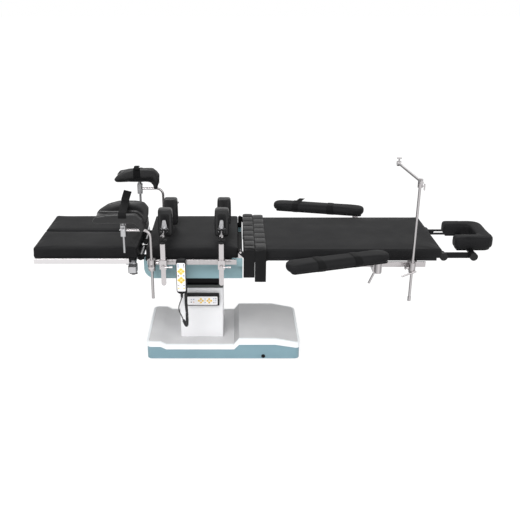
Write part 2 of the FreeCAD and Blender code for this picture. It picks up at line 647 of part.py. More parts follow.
def wing(x, z, span, tall, y0, y1):
    """The two ears of a wing nut, seen from the front, with their low waist at height z."""
    half = f"{span} / 2"
    return prism("xz", [(f"{x} - {half}", f"{z} + 0.65 * {tall}"), (f"{x} - 0.45 * {half}", z),
                        (f"{x} + 0.45 * {half}", z), (f"{x} + {half}", f"{z} + 0.65 * {tall}"),
                        (f"{x} + 0.85 * {half}", f"{z} + {tall}"), (x, f"{z} + 0.4 * {tall}"),
                        (f"{x} - 0.85 * {half}", f"{z} + {tall}")], y0, y1)


def support_post(x, drop, pad_y):
    """A flat bar with a rounded foot, a wing nut, the level arm above it and the clevis on the arm's end."""
    y = "-post_y"
    low, high = f"{y} - post_thick / 2", f"{y} + post_thick / 2"
    top, foot = f"post_top - {drop}", f"post_foot - {drop} + post_wide / 2"
    axis = f"{top} + arm_rise"
    pivot = f"-{pad_y} - side_pad_thick / 2 - clevis_gap"
    bar = box(f"{x} - post_wide / 2", f"{x} + post_wide / 2", low, high, foot, top)
    toe = rod("y", "post_wide / 2", low, high, (x, foot))
    nut = rod("z", 12, f"{top} - 1", f"{top} + 12", (x, y))
    wings = wing(x, f"{top} + 3", 40, 19, f"{y} - 4", f"{y} + 4")
    stem = rod("z", 5, f"{top} + 8", f"{axis} - 6", (x, y))
    head = rod("y", 10, f"{y} - 12", f"{y} + 12", (x, axis))
    arm = rod("y", "arm_radius", f"{y} - 16", f"{pivot} - 16", (x, axis))
    wedge = [(f"{x} - 17", f"{axis} - 12"), (f"{x} + 17", f"{axis} - 12"), (f"{x} + 7", f"{axis} + 46"),
             (f"{x} - 7", f"{axis} + 46")]
    block = prism("xz", wedge, f"{pivot} - 18", f"{pivot} - 10", [(5, [2, 3]), (3, [0, 1])])
    hand_nut = rod("y", 10, f"{pivot} - 34", f"{pivot} - 17", (x, axis))
    nut_wings = wing(x, f"{axis} - 9", 42, 20, f"{pivot} - 32", f"{pivot} - 25")
    cheeks = []
    for side in (-1, 1):
        near, far = sorted((f"{x} + {side} * (clevis_lug / 2 + slide_gap)",
                            f"{x} + {side} * (clevis_lug / 2 + 5)"), key=value)
        cheeks.append(box(near, far, f"{pivot} - 12", pivot, f"{axis} - 9", f"{axis} + 9"))
        cheeks.append(rod("x", 9, near, far, (pivot, axis)))
    pin = rod("x", 4, f"{x} - clevis_lug / 2 - 6", f"{x} + clevis_lug / 2 + 6", (pivot, axis))
    return join(bar, toe, nut, wings, stem, head, arm, block, hand_nut, nut_wings, *cheeks, pin)


def support_pad(x, drop, pad_y):
    """A side pad and its back plate with the lug that turns in the clevis."""
    axis = f"post_top - {drop} + arm_rise"
    face = f"-{pad_y} - side_pad_thick / 2"
    pivot = f"{face} - clevis_gap"
    low = f"{axis} - side_pad_drop"
    block = prism("xz", rectangle(f"{x} - side_pad_wide / 2", f"{x} + side_pad_wide / 2", low,
                                  f"{low} + side_pad_tall"), face, f"{face} + side_pad_thick", [(13, [0, 1, 2, 3])])
    faces = [value(face), value(f"{face} + side_pad_thick")]
    names = [
        f"Edge{n}"
        for n, e in enumerate(block.Shape.Edges, start=1)
        if any(all(abs(v.Y - spot) < 0.01 for v in e.Vertexes) for spot in faces)
    ]
    fillet(block, block.Tip, names, 7)
    back = f"{face} - soft_gap"
    plate = prism("xz", rectangle(f"{x} - 20", f"{x} + 20", f"{axis} - 36", f"{axis} + 62"), f"{back} - 4", back,
                  [(8, [0, 1, 2, 3])])
    lug = box(f"{x} - clevis_lug / 2", f"{x} + clevis_lug / 2", pivot, f"{back} - 2", f"{axis} - 8", f"{axis} + 8")
    eye = rod("x", 8, f"{x} - clevis_lug / 2", f"{x} + clevis_lug / 2", (pivot, axis))
    bore = rod("x", "4 + run_gap", f"{x} - 20", f"{x} + 20", (pivot, axis))
    return group(block, cut(join(plate, lug, eye), bore))


def make_supports():
    """Four side supports, two on each seat rail, and the clamps that hold them and the stirrups."""
    clamps = []
    for name, x in SUPPORTS.items():
        near = name.startswith("near")
        drop, pad_y = ("0", "near_pad_y") if near else ("far_drop", "far_pad_y")
        for kind, piece in (("post", support_post(x, drop, pad_y)), ("pad", support_pad(x, drop, pad_y))):
            node(f"support_{kind}_{name}", piece if near else mirror(piece))
        clamp = support_clamp(x)
        clamps.append(clamp if near else mirror(clamp))
    clamp = stirrup_clamp()
    node("rail_clamps", group(*clamps, clamp, mirror(clamp)))


def bent_rod(height):
    """A stirrup rod: an upright, a quarter bend and a level arm that points to the leg end."""
    x, y = "stirrup_x", "-stirrup_y"
    upright = rod("z", "rod_radius", "stirrup_foot", f"{height} - stirrup_bend", (x, y))
    bend = DOC.addObject("Part::Torus", "bend")
    bind(bend, Radius1="stirrup_bend", Radius2="rod_radius")
    bend.Angle3 = 90
    bend.Placement = Placement(Vector(), Rotation(ALONG, 90))
    place(bend, "stirrup_x - stirrup_bend", y, f"{height} - stirrup_bend")
    arm = rod("x", "rod_radius", "crutch_x - 2", "stirrup_x - stirrup_bend", (y, height))
    return join(upright, bend, arm)


def crutch_clamp(height):
    """The cross clamp on a stirrup's arm, with the crutch post through it and two T-screws."""
    x, y = "crutch_x", "-stirrup_y"
    block = prism("xy", rectangle(f"{x} - 13", f"{x} + 13", f"{y} - 15", f"{y} + 15"), f"{height} - 26",
                  f"{height} + 26", [(6, [0, 1, 2, 3])])
    post = rod("z", "crutch_post", f"{height} - 108", f"{height} - 20", (x, y))
    neck = rod("z", "crutch_post", f"{height} + 20", f"{height} + crutch_rise - 0.5", (x, y))
    collar = rod("z", 9, f"{height} + 26", f"{height} + 36", (x, y))
    screw = rod("y", 4, f"{y} - 34", f"{y} - 14", (x, f"{height} + 12"))
    bar = rod("x", 2.8, f"{x} - 12", f"{x} + 12", (f"{y} - 30", f"{height} + 12"))
    bore = rod("x", "rod_radius + run_gap", f"{x} - 5", f"{x} + 40", (y, height))
    return cut(join(block, post, neck, collar, screw, bar), bore)


def crutch_pad(height):
    """A knee crutch: a trough along the leg whose knee end turns down, with one wall higher than the other."""
    x, y, foot = "crutch_x", "-stirrup_y", f"{height} + crutch_rise"
    side = [(f"{x} - 130", f"{foot} + 14"), (f"{x} - 118", foot), (f"{x} + 62", foot), (f"{x} + 76", f"{foot} - 16"),
            (f"{x} + 84", f"{foot} - 40"), (f"{x} + 100", f"{foot} - 40"), (f"{x} + 112", f"{foot} + 6"),
            (f"{x} + 112", f"{foot} + 44"), (f"{x} + 92", f"{foot} + 64"), (f"{x} - 10", f"{foot} + 66"),
            (f"{x} - 70", f"{foot} + 54"), (f"{x} - 110", f"{foot} + 34")]
    body = prism("xz", side, f"{y} - crutch_half", f"{y} + crutch_half", [(16, [2, 8]), (6, [4, 5]), (8, [0, 1])])
    line = [(f"{x} - 150", f"{foot} + crutch_skin"), (f"{x} + 58", f"{foot} + crutch_skin"),
            (f"{x} + 84", f"{foot} + 4"), (f"{x} + 112 - crutch_skin / 2", f"{foot} - 45"),
            (f"{x} + 160", f"{foot} - 60"), (f"{x} + 160", f"{foot} + 120"), (f"{x} - 150", f"{foot} + 120")]
    trough = prism("xz", line, f"{y} - crutch_half + crutch_skin", f"{y} + crutch_half - crutch_skin", [(20, [1])])
    low_wall = [(f"{x} - 150", f"{foot} + 30"), (f"{x} - 60", f"{foot} + 40"), (f"{x} + 70", f"{foot} + 42"),
                (f"{x} + 96", f"{foot} + 20"), (f"{x} + 104", f"{foot} - 45"), (f"{x} + 160", f"{foot} - 60"),
                (f"{x} + 160", f"{foot} + 120"), (f"{x} - 150", f"{foot} + 120")]
    lowered = prism("xz", low_wall, f"{y} - crutch_half - 5", f"{y} - crutch_half + crutch_skin + 5")
    return cut(body, trough, lowered)


def make_stirrups():
    """Two leg crutches on bent rods, one on each side at its own height."""
    for side, height in (("near", "near_stirrup"), ("far", "far_stirrup")):
        pieces = (("stirrup_rod", bent_rod), ("crutch_clamp", crutch_clamp), ("crutch_pad", crutch_pad))
        for name, maker in pieces:
            piece = maker(height)
            node(f"{name}_{side}", piece if side == "near" else mirror(piece))


def make_legs():
    """Two leg sections, each on a bracket that drops and a pivot that lets it splay."""
    barrel = rod("y", 13, -167.5, -48.5, ("leg_root", "leg_axis_z"))
    wing = box(-302, "leg_root", -167, -49, "leg_axis_z - 13", "leg_axis_z")
    shelf = box(-345, -302, "-plate_half", -49, "leg_axis_z - 13", "leg_axis_z")
    boss = rod("z", 16, "leg_axis_z - 13", "plate_top - plate_depth - fit_gap", ("splay_x", "-splay_y"))
    pin = rod("z", "leg_pin", "leg_axis_z - 5", "plate_top - 1", ("splay_x", "-splay_y"))
    lock = prism("xy", rectangle(-330, -290, "-plate_half - 50", "-plate_half + 2"), 511, "leg_axis_z - 4",
                 [(7, [0, 1, 2, 3])])
    knob_y = "-plate_half - 26"
    stem = rod("z", 5, 505, 515, (-308, knob_y))
    knob = rod("z", 11, 498, 506, (-308, knob_y))
    grip = rod("x", 4.5, -326, -290, (knob_y, 502))
    bore = rod("y", "leg_pin + run_gap", -190, -30, ("leg_root", "leg_axis_z"))
    pair("leg_bracket", cut(join(barrel, wing, shelf, boss, pin, lock, stem, knob, grip), bore))

    left, right = "leg_end + 5", "leg_root - 16"
    plate = prism("xy", rectangle(left, right, "-plate_half", "-leg_split - 3"), "plate_top - plate_depth",
                  "plate_top", [(10, [0, 1, 2, 3])])
    ribs = [box(f"{left} + 20", f"{right} - 60", y0, y1, "plate_top - plate_depth - 10", "plate_top - 2")
            for y0, y1 in (("-plate_half + 14", "-plate_half + 28"), (-30, -16))]
    hole = rod("z", "leg_pin + run_gap", 500, 600, ("splay_x", "-splay_y"))
    pair("leg_frame", cut(join(plate, *ribs), hole))
    pad = cushion(rectangle("leg_end", "leg_root", "-pad_half", "-leg_split"), "plate_top + soft_gap", "pad_top",
                  "pad_corner", "pad_round")
    pair("leg_pad", pad)
    pair("leg_rail", rail("leg_rail_left", "leg_rail_right", "leg_rail_foot", "plate_half",
                          "plate_top - plate_depth / 2", (-740, -545, -350), 6))


def make_back():
    """The back section: plate, pad, rails and the two body straps."""
    plate = box("back_root + 20", "back_end - 26", "-plate_half", "plate_half", "back_plate_top - back_plate_depth",
                "back_plate_top")
    under = "back_plate_top - back_plate_depth"
    gusset = prism("xz", [("back_root + 20", f"{under} + 2"), ("back_root + 20", f"{under} - 10"),
                          (301, f"{under} - 10"), (329, f"{under} + 2")], "-plate_half + 3", "plate_half - 3")
    hoops = [box(x, x + 16, -200, 200, f"{under} - 16", f"{under} + 1") for x in (560, 860)]
    lugs = []
    axis = ("back_axis_x", "back_axis_z")
    for side in (-1, 1):
        faces = ("seat_lug_y + hinge_lug + 0.5", "seat_lug_y + 2 * hinge_lug + 0.5")
        low, high = sorted((f"{side} * ({face})" for face in faces), key=value)
        lugs.append(prism("xz", [("back_axis_x - 7", "back_axis_z - 7"), (228, under), (266, under),
                                 (266, "back_plate_top"), ("back_axis_x + 7", "back_axis_z + 7")], low, high))
        lugs.append(rod("y", "hinge_round", low, high, axis))
        ends = sorted((f"{side} * (plate_half - 2)", f"{side} * ({faces[1]})"), key=value)
        lugs.append(box(230, 266, ends[0], ends[1], under, "back_plate_top"))
        head = sorted((f"{side} * (head_arm_y - 13)", f"{side} * (head_arm_y - 1)"), key=value)
        lugs.append(box("back_end - 62", "head_axis_x", head[0], head[1], "head_axis_z - 10", f"{under} + 2"))
        lugs.append(rod("y", 16, head[0], head[1], ("head_axis_x", "head_axis_z")))
        pin = sorted((f"{side} * (head_arm_y - 5)", f"{side} * (head_arm_y + head_arm_thick + 1)"), key=value)
        lugs.append(rod("y", "head_pin", pin[0], pin[1], ("head_axis_x", "head_axis_z")))
    bore = rod("y", "back_pin + run_gap", -300, 300, axis)
    node("back_frame", cut(join(plate, gusset, *hoops, *lugs), bore))

    pad = cushion(rectangle("back_root", "back_end", "-pad_half", "pad_half"), "back_plate_top + soft_gap",
                  "back_top", "pad_corner", "pad_round")
    node("back_pad", pad)
    near = rail("back_rail_left", "back_rail_right", "back_rail_foot", "plate_half",
                "back_plate_top - back_plate_depth / 2", (490, 750, 1010), 4.5)
    node("back_rails", group(near, mirror(near)))

    straps = []
    for index, foot in ((0, 477), (1, 455)):
        x0 = f"strap_left + {index} * strap_step"
        outer = prism("yz", rectangle("-strap_inner - strap_thick", "strap_inner + strap_thick", foot,
                                      "back_top + soft_gap + strap_thick"), x0, f"{x0} + strap_wide",
                      [("strap_thick + 6", [2, 3])])
        inner = prism("yz", rectangle("-strap_inner", "strap_inner", 400, "back_top + soft_gap"), f"{x0} - 5",
                      f"{x0} + strap_wide + 5", [(6, [2, 3])])
        straps.append(cut(outer, inner))
    node("body_straps", group(*straps))


def board_clamp(y):
    """A rail clamp with a pivot for an arm board and a lever that hangs below it."""
    pivot = ("board_x", f"-({y})")
    block = jaws("board_x", 20, "back_rail_foot", f"-({y}) + 8")
    tower = rod("z", 15, "back_rail_foot - 6", "board_foot - fit_gap", pivot)
    pin = rod("z", "board_pin", "board_foot - 10", "board_foot + board_plate", pivot)
    start = (value("board_x") - 4, -value("rail_face") - 22, value("back_rail_foot") - 4)
    lever = leaning_rod(5, start, (start[0] - 28, start[1] - 4, start[2] - 66))
    hub = rod("y", 9, "-rail_face - 30", "-rail_face - 12", ("board_x - 4", "back_rail_foot - 8"))
    return join(*block, tower, pin, lever, hub)


def screen_clamp():
    """The rail clamp of the anaesthesia screen, with its wing screw and its T-lever."""
    x, y = "screen_x", "-screen_y"
    boss = rod("z", "screen_radius + 9", "back_rail_foot - 14", "back_rail_foot + 34", (x, y))
    bore = rod("z", "screen_radius + run_gap", 300, 700, (x, y))
    screw = rod("x", 4, "screen_x - 30", "screen_x - 10", (y, "back_rail_foot + 8"))
    wing = prism("yz", [("-screen_y - 6", "back_rail_foot + 2"), ("-screen_y + 6", "back_rail_foot + 2"),
                        ("-screen_y + 13", "back_rail_foot + 14"), ("-screen_y - 13", "back_rail_foot + 14")],
                 "screen_x - 34", "screen_x - 28")
    start = (value("screen_x") + 16, -value("screen_y") - 19, value("back_rail_foot") - 2)
    lever = leaning_rod(4, start, (start[0] - 66, start[1] - 3, start[2] - 24))
    stub = rod("y", 4, "-screen_y - 22", "-screen_y - 8", ("screen_x + 2", "back_rail_foot - 7"))
    return cut(join(*jaws(x, 14, "back_rail_foot", f"{y} + 4"), boss, screw, wing, lever, stub), bore)


def arm_board(side, y, turn):
    """The plate and the pad of one arm board, lying on its pivot and turned about it."""
    plate = prism("xy", rectangle("-board_reach + 18", "board_tail - 12", "-board_wide / 2 + 12",
                                  "board_wide / 2 - 12"), 0, "board_plate", [(14, [0, 1, 2, 3])])
    socket = rod("z", 20, 0, "board_plate", (0, 0))
    hole = rod("z", "board_pin + run_gap", -5, 20, (0, 0))
    plate = cut(join(plate, socket), hole)
    outline = rectangle("-board_reach", "board_tail", "-board_wide / 2", "board_wide / 2")
    pad = cushion(outline, "board_plate + soft_gap", "board_plate + board_pad", "board_wide / 2 - 5", 12)
    for name, piece in (("arm_plate_" + side, plate), ("arm_pad_" + side, pad)):
        place(piece, "board_x", y, "board_foot")
        piece.setExpression("Placement.Rotation.Angle", formula(turn))
        node(name, piece)


def make_accessories():
    """Arm boards and the anaesthesia screen with their clamps on the back rails."""
    near = board_clamp("board_near_y")
    far = mirror(board_clamp("board_far_y"))
    node("back_clamps", group(near, far, screen_clamp()))
    arm_board("near", "-board_near_y", "near_board_turn")
    arm_board("far", "board_far_y", "far_board_turn")

    x, y = "screen_x", "-screen_y"
    post = rod("z", "screen_radius", "screen_foot", "screen_top", (x, y))
    tip = rod("z", "screen_radius + 1.5", "screen_foot", "screen_foot + 20", (x, y))
    knuckle = rod("z", 11, "screen_top", "screen_top + 18", (x, y))
    spigot = rod("z", 5, "screen_top + 18", "screen_top + 40", (x, y))
    wing = prism("xz", [("screen_x + 18", "screen_top - 14"), ("screen_x + 23", "screen_top - 14"),
                        ("screen_x + 23", "screen_top + 16"), ("screen_x + 18", "screen_top + 16")],
                 "-screen_y - 4", "-screen_y + 4", [(2, [0, 1, 2, 3])])
    screw = rod("x", 3.5, "screen_x + 8", "screen_x + 20", (y, "screen_top + 6"))
    node("screen_post", join(post, tip, knuckle, spigot, wing, screw))

    hub = rod("z", 11, "screen_top + 18 + fit_gap", "screen_top + 38", (x, y))
    bore = rod("z", "5 + run_gap", "screen_top + 10", "screen_top + 50", (x, y))
    stalk = rod("y", 4, "-screen_y - 16", "-screen_y - 7", (x, "screen_top + 28"))
    ball = rod("y", 8, "-screen_y - 27", "-screen_y - 15", (x, "screen_top + 28"))
    start = (value("screen_x") - 2, -value("screen_y") + 8, value("screen_top") + 29)
    end = (start[0] - 45, start[1] + 218, start[2] + 20)
    reach = leaning_rod("screen_radius", start, end)
    ring = rod("x", 12, end[0] - 9, end[0] + 9, (end[1] + 8, end[2]))
    eye = rod("x", 4, end[0] - 12, end[0] + 12, (end[1] + 12, end[2]))
    pinch = rod("z", 3.5, end[2] + 8, end[2] + 26, (end[0], end[1] + 8))
    tee = rod("x", 3.4, end[0] - 11, end[0] + 11, (end[1] + 8, end[2] + 26))
    node("screen_arm", cut(join(hub, stalk, ball, reach, ring, pinch, tee), bore, eye))


def make_headrest():
    """Two arms on the back section's end, a carrier on their tips and the horseshoe cushion."""
    tip = "head_axis_x + head_reach"
    arms = []
    for side in (-1, 1):
        faces = ("head_arm_y", "head_arm_y + head_arm_thick")
        low, high = sorted((f"{side} * ({face})" for face in faces), key=value)
        bar = box("head_axis_x", tip, low, high, "head_axis_z - 13", "head_axis_z + 13")
        ends = [rod("y", 17, low, high, (x, "head_axis_z")) for x in ("head_axis_x", tip)]
        knob = sorted((f"{side} * ({faces[1]} - 1)", f"{side} * ({faces[1]} + 20)"), key=value)
        grip = rod("y", "head_knob", knob[0], knob[1], ("head_axis_x", "head_axis_z"))
        reach = sorted((f"{side} * ({faces[0]} - 5)", f"{side} * ({faces[1]} + 2)"), key=value)
        holes = [rod("y", "head_pin + run_gap", reach[0], reach[1], ("head_axis_x", "head_axis_z")),
                 rod("y", "head_pin + run_gap", f"{side} * ({faces[1]} + 9) - 30", f"{side} * ({faces[1]} + 9) + 30",
                     (tip, "head_axis_z"))]
        if side > 0:
            holes.append(prism("xz", rectangle("head_axis_x + 40", f"{tip} - 35", "head_axis_z - 5",
                                               "head_axis_z + 5"), f"{low} - 1", f"{high} + 1",
                               [(4.9, [0, 1, 2, 3])]))
        arms.append(cut(join(bar, *ends, grip), *holes))
    node("head_arms", group(*arms))

    lugs = []
    for side in (-1, 1):
        low, high = sorted((f"{side} * (head_arm_y - 13)", f"{side} * (head_arm_y - 1)"), key=value)
        lugs.append(box(f"{tip} - 14", f"{tip} + 14", low, high, "head_axis_z", "cushion_foot - 8"))
        lugs.append(rod("y", 14, low, high, (tip, "head_axis_z")))
        pin = sorted((f"{side} * (head_arm_y - 5)", f"{side} * (head_arm_y + head_arm_thick + 3)"), key=value)
        lugs.append(rod("y", "head_pin", pin[0], pin[1], (tip, "head_axis_z")))
        ends = ("head_arm_y + head_arm_thick + 0.5", "head_arm_y + head_arm_thick + 21")
        knob = sorted((f"{side} * ({end})" for end in ends), key=value)
        lugs.append(rod("y", "head_knob", knob[0], knob[1], (tip, "head_axis_z")))
    bridge = box(f"{tip} - 14", f"{tip} + 14", "-head_arm_y + 1", "head_arm_y - 1", "cushion_foot - 16",
                 "cushion_foot - 8")
    saddle = prism("xy", horseshoe("12"), "cushion_foot - 10", "cushion_foot - soft_gap", [("cushion_corner - 12", [1, 2])])
    node("head_carrier", join(*lugs, bridge, saddle))

    rounds = [("cushion_corner", [1, 2]), (14, [0, 3, 4, 7]), (24, [5, 6])]
    pad = cushion(horseshoe("0"), "cushion_foot", "cushion_top", 0, 10, rounds)
    node("head_cushion", pad)


def horseshoe(inset):
    """A U outline, open to the table, pulled in by inset."""
    left, right = f"cushion_left + {inset}", f"cushion_right - {inset}"
    half, slot, neck = f"cushion_half - {inset}", f"cushion_slot + {inset}", "cushion_right - 72"
    return [(left, f"-({half})"), (right, f"-({half})"), (right, half), (left, half), (left, slot),
            (f"{neck} + {inset}", slot), (f"{neck} + {inset}", f"-({slot})"), (left, f"-({slot})")]


# The hand control's cord: a straight stretch out of the case, then the curly stretch back up to its socket
TAIL_ROUTE = [(-82.5, -301, 405), (-82.5, -301, 388), (-92, -302.5, 368), (-99, -305.5, 345), (-97, -308.5, 323),
              (-88, -310.5, 306), (-81, -311, 288)]
COIL_ROUTE = [(-81, -311, 288), (-73.22, -311.56, 268), (-67, -298, 245.5), (-65.5, -274, 232), (-65.5, -246, 232),
              (-66.5, -222.5, 245.5), (-68, -209, 269), (-70.5, -208.5, 302), (-71.5, -210.5, 342),
              (-70.5, -211.5, 380), (-69, -210, 415), (-69, -210, 450)]


def cord_tube(route, radius, label):
    """A round tube of straight runs joined by arcs, and a print of its radii and its length."""
    points = [Vector(*p) for p in route]
    edges, radii, start = [], [], points[0]
    for before, corner, after in zip(points, points[1:], points[2:]):
        into = (corner - before).normalize()
        out = (after - corner).normalize()
        turn = into.getAngle(out)
        shorter = min((corner - before).Length, (after - corner).Length)
        bend = 0.45 * shorter / math.tan(turn / 2)
        trim = 0.45 * shorter
        enter, leave = corner - into * trim, corner + out * trim
        middle = (out - into).normalize()
        centre = corner + middle * (bend / math.cos(turn / 2))
        crown = centre - middle * bend
        edges.append(Part.LineSegment(start, enter).toShape())
        edges.append(Part.Arc(enter, crown, leave).toShape())
        radii.append(round(bend, 1))
        start = leave
    edges.append(Part.LineSegment(start, points[-1]).toShape())
    path = Part.Wire(edges)
    ring = Part.Wire(Part.Circle(points[0], points[1] - points[0], radius).toShape())
    solid = path.makePipeShell([ring], True, False)
    expected = math.pi * radius ** 2 * path.Length
    print(label, "radii", radii, "length", round(path.Length, 1), "volume over section times length",
          round(solid.Volume / expected, 4))
    tube_piece = DOC.addObject("Part::Feature", label)
    tube_piece.Shape = solid
    return tube_piece


def make_hand_control():
    """The hand control on the near seat rail, its cord and the socket under the beam."""
    x, half = "pendant_x", "pendant_wide / 2"
    back = "-rail_face - 8"
    front = f"{back} - pendant_thick"
    case = prism("xz", rectangle(f"{x} - {half}", f"{x} + {half}", "pendant_foot", "pendant_top"), front, back,
                 [(18, [0, 1]), (7, [2, 3])])
    neck = cone("z", "cord_radius + 2", "cord_radius + 5", "pendant_foot - 12", "pendant_foot + 2",
                (x, f"{back} - pendant_thick / 2"))
    inner = "-rail_face + rail_thick"
    top = "seat_rail_foot + rail_height"
    hook = box(f"{x} - 12", f"{x} + 12", f"{back} - 2", f"{inner} + 3.5", top, f"{top} + 4")
    lip = box(f"{x} - 12", f"{x} + 12", f"{inner} + 0.5", f"{inner} + 3.5", f"{top} - 12", f"{top} + 2")
    spine = box(f"{x} - 12", f"{x} + 12", f"{back} - 2", "-rail_face", f"{top} - 20", f"{top} + 4")
    node("pendant_housing", join(case, neck, hook, lip, spine))
    tail = cord_tube(TAIL_ROUTE, value("cord_radius"), "pendant_cord_tail")
    coil = cord_tube(COIL_ROUTE, value("coil_radius"), "pendant_cord_coil")
    node("pendant_cord_tail", tail)
    node("pendant_cord_coil", coil)
    shelf = box(-90, -50, "-beam_half + beam_wall", "socket_y + 16", "beam_foot", "beam_foot + 5")
    shell = rod("z", "coil_radius + 3", 450, "beam_foot + 2", (-69, "socket_y"))
    node("cord_socket", join(shelf, shell))


def check_document():
    """Stops if any object failed or any sub-part isn't a sound solid."""
    DOC.recompute()
    for thing in DOC.Objects:
        if {"Invalid", "Error"} & set(thing.State):
            raise RuntimeError(f"{thing.Name} ({thing.Label}) failed: {thing.State}")
    for thing in NODES:
        if thing.Shape.isNull() or not thing.Shape.isValid() or not thing.Shape.Solids:
            raise RuntimeError(f"{thing.Label} is not a sound solid")


def write_parts():
    os.makedirs("parts", exist_ok=True)
    for thing in NODES:
        thing.Shape.exportStep(f"parts/{thing.Label}.step")
        print(thing.Label, len(thing.Shape.Solids), round(thing.Shape.Volume))


fill_sheet()
make_base()
make_column()
make_tilt_cross()
make_seat()
make_supports()
make_stirrups()
make_legs()
make_back()
make_accessories()
make_headrest()
make_hand_control()
check_document()
write_parts()
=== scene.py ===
"""The looks of an operating table: moulded pads, painted and plated metal, keypads, straps and a curly cord.

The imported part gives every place. Lengths are in metres: X along the table to the head end, Y away from the
viewer, Z up.
"""
import json
import math

import bmesh
import bpy
import numpy as np
from mathutils import Matrix, Vector
from mathutils.bvhtree import BVHTree


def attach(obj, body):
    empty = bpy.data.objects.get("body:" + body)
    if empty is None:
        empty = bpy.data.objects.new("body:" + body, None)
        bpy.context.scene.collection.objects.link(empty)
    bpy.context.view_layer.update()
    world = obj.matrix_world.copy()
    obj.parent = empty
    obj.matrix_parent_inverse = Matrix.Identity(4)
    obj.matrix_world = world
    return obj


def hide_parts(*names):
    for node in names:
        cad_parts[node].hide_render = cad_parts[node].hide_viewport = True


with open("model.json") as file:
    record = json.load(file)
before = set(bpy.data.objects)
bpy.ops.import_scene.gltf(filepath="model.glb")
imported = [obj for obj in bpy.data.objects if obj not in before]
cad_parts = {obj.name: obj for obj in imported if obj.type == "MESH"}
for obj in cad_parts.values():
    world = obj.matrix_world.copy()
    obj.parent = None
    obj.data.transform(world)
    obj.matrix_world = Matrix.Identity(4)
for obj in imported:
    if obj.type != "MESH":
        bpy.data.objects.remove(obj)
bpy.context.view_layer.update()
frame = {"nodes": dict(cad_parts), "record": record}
NODES = frame["nodes"]
BODY_OF = {n: b for b, names in frame["record"]["behaviour"]["bodies"].items() for n in names}
MM = 0.001
SHARP = math.radians(38)  # an edge turned by more than this stays hard and is rounded off
WELD = 2e-6  # points closer than this are one


def configure(thing, settings):
    """Gives a node, a lamp or a modifier its settings."""
    for key, setting in settings.items():
        setattr(thing, key, setting)


def put(name, data):
    """A new object in the scene."""
    thing = bpy.data.objects.new(name, data)
    bpy.context.scene.collection.objects.link(thing)
    return thing


# Camera and light.


def make_camera():
    """The photograph's view: a long lens in front of the table, looking down at about 22 degrees."""
    camera = put("camera", bpy.data.cameras.new("camera"))
    configure(camera.data, {"sensor_width": 36, "lens": 49.85, "shift_x": 0.0475})
    camera.location = (0.168, -3.377, 1.8076)
    camera.rotation_euler = (math.radians(68.27), 0, 0)
    bpy.context.scene.camera = camera


def lamp(name, energy, place, aim, width, depth):
    """A rectangular lamp at a place, turned to a point."""
    thing = put(name, bpy.data.lights.new(name, "AREA"))
    configure(thing.data, {"energy": energy, "shape": "RECTANGLE", "size": width, "size_y": depth})
    thing.location = place
    thing.rotation_euler = (Vector(aim) - Vector(place)).to_track_quat("-Z", "Y").to_euler()


# Materials.


def linear(code):
    """An sRGB hex code as linear red, green, blue, alpha."""
    parts = [int(code[k:k + 2], 16) / 255 for k in (0, 2, 4)]
    return [p / 12.92 if p <= 0.04045 else ((p + 0.055) / 1.055) ** 2.4 for p in parts] + [1.0]


def add(tree, kind, inputs=(), **settings):
    """A node with its settings; each input is a value or a (node, output) to link from."""
    node = tree.nodes.new(kind)
    configure(node, settings)
    for key, given in dict(inputs).items():
        socket = node.inputs[key]
        if isinstance(given, tuple) and isinstance(given[0], bpy.types.Node):
            tree.links.new(given[0].outputs[given[1]], socket)
        else:
            socket.default_value = given
    return node


def finish_of(name, colour, rough, **sockets):
    """A material with its shader; returns the material, its node tree, its shader and its coordinates."""
    material = bpy.data.materials.new(name)
    material.use_nodes = True
    tree = material.node_tree
    shader = tree.nodes["Principled BSDF"]
    sockets = {"Base Color": linear(colour), "Roughness": rough, **sockets}
    for key, given in sockets.items():
        shader.inputs[key.replace("_", " ")].default_value = given
    return material, tree, shader, add(tree, "ShaderNodeTexCoord")


def calc(tree, operation, *given, **settings):
    """A math node with its inputs in order."""
    return add(tree, "ShaderNodeMath", dict(enumerate(given)), operation=operation, **settings)


def noise(tree, place, scale, detail):
    """Noise in the object's own coordinates, with about scale lumps to a metre."""
    return add(tree, "ShaderNodeTexNoise", {"Vector": (place, "Object"), "Scale": scale, "Detail": detail})


def spread(tree, source, low, high, start=0.0, end=1.0):
    """A value stretched from one span to another."""
    return add(tree, "ShaderNodeMapRange", {"Value": source, "From Min": low, "From Max": high,
                                            "To Min": start, "To Max": end})


def vary_gloss(tree, shader, source, low, high, least, most):
    """Lets the roughness run from least to most as the source value goes from low to high."""
    gloss = spread(tree, source, low, high, least, most)
    tree.links.new(gloss.outputs["Result"], shader.inputs["Roughness"])


def tint(tree, shader, source, dark, light, low=0.3, high=0.7):
    """Lets the colour run between two hex colours as the source value goes from low to high."""
    ramp = add(tree, "ShaderNodeValToRGB", {"Fac": source})
    for element, place, code in zip(ramp.color_ramp.elements, (low, high), (dark, light)):
        configure(element, {"position": place, "color": linear(code)})
    tree.links.new(ramp.outputs["Color"], shader.inputs["Base Color"])


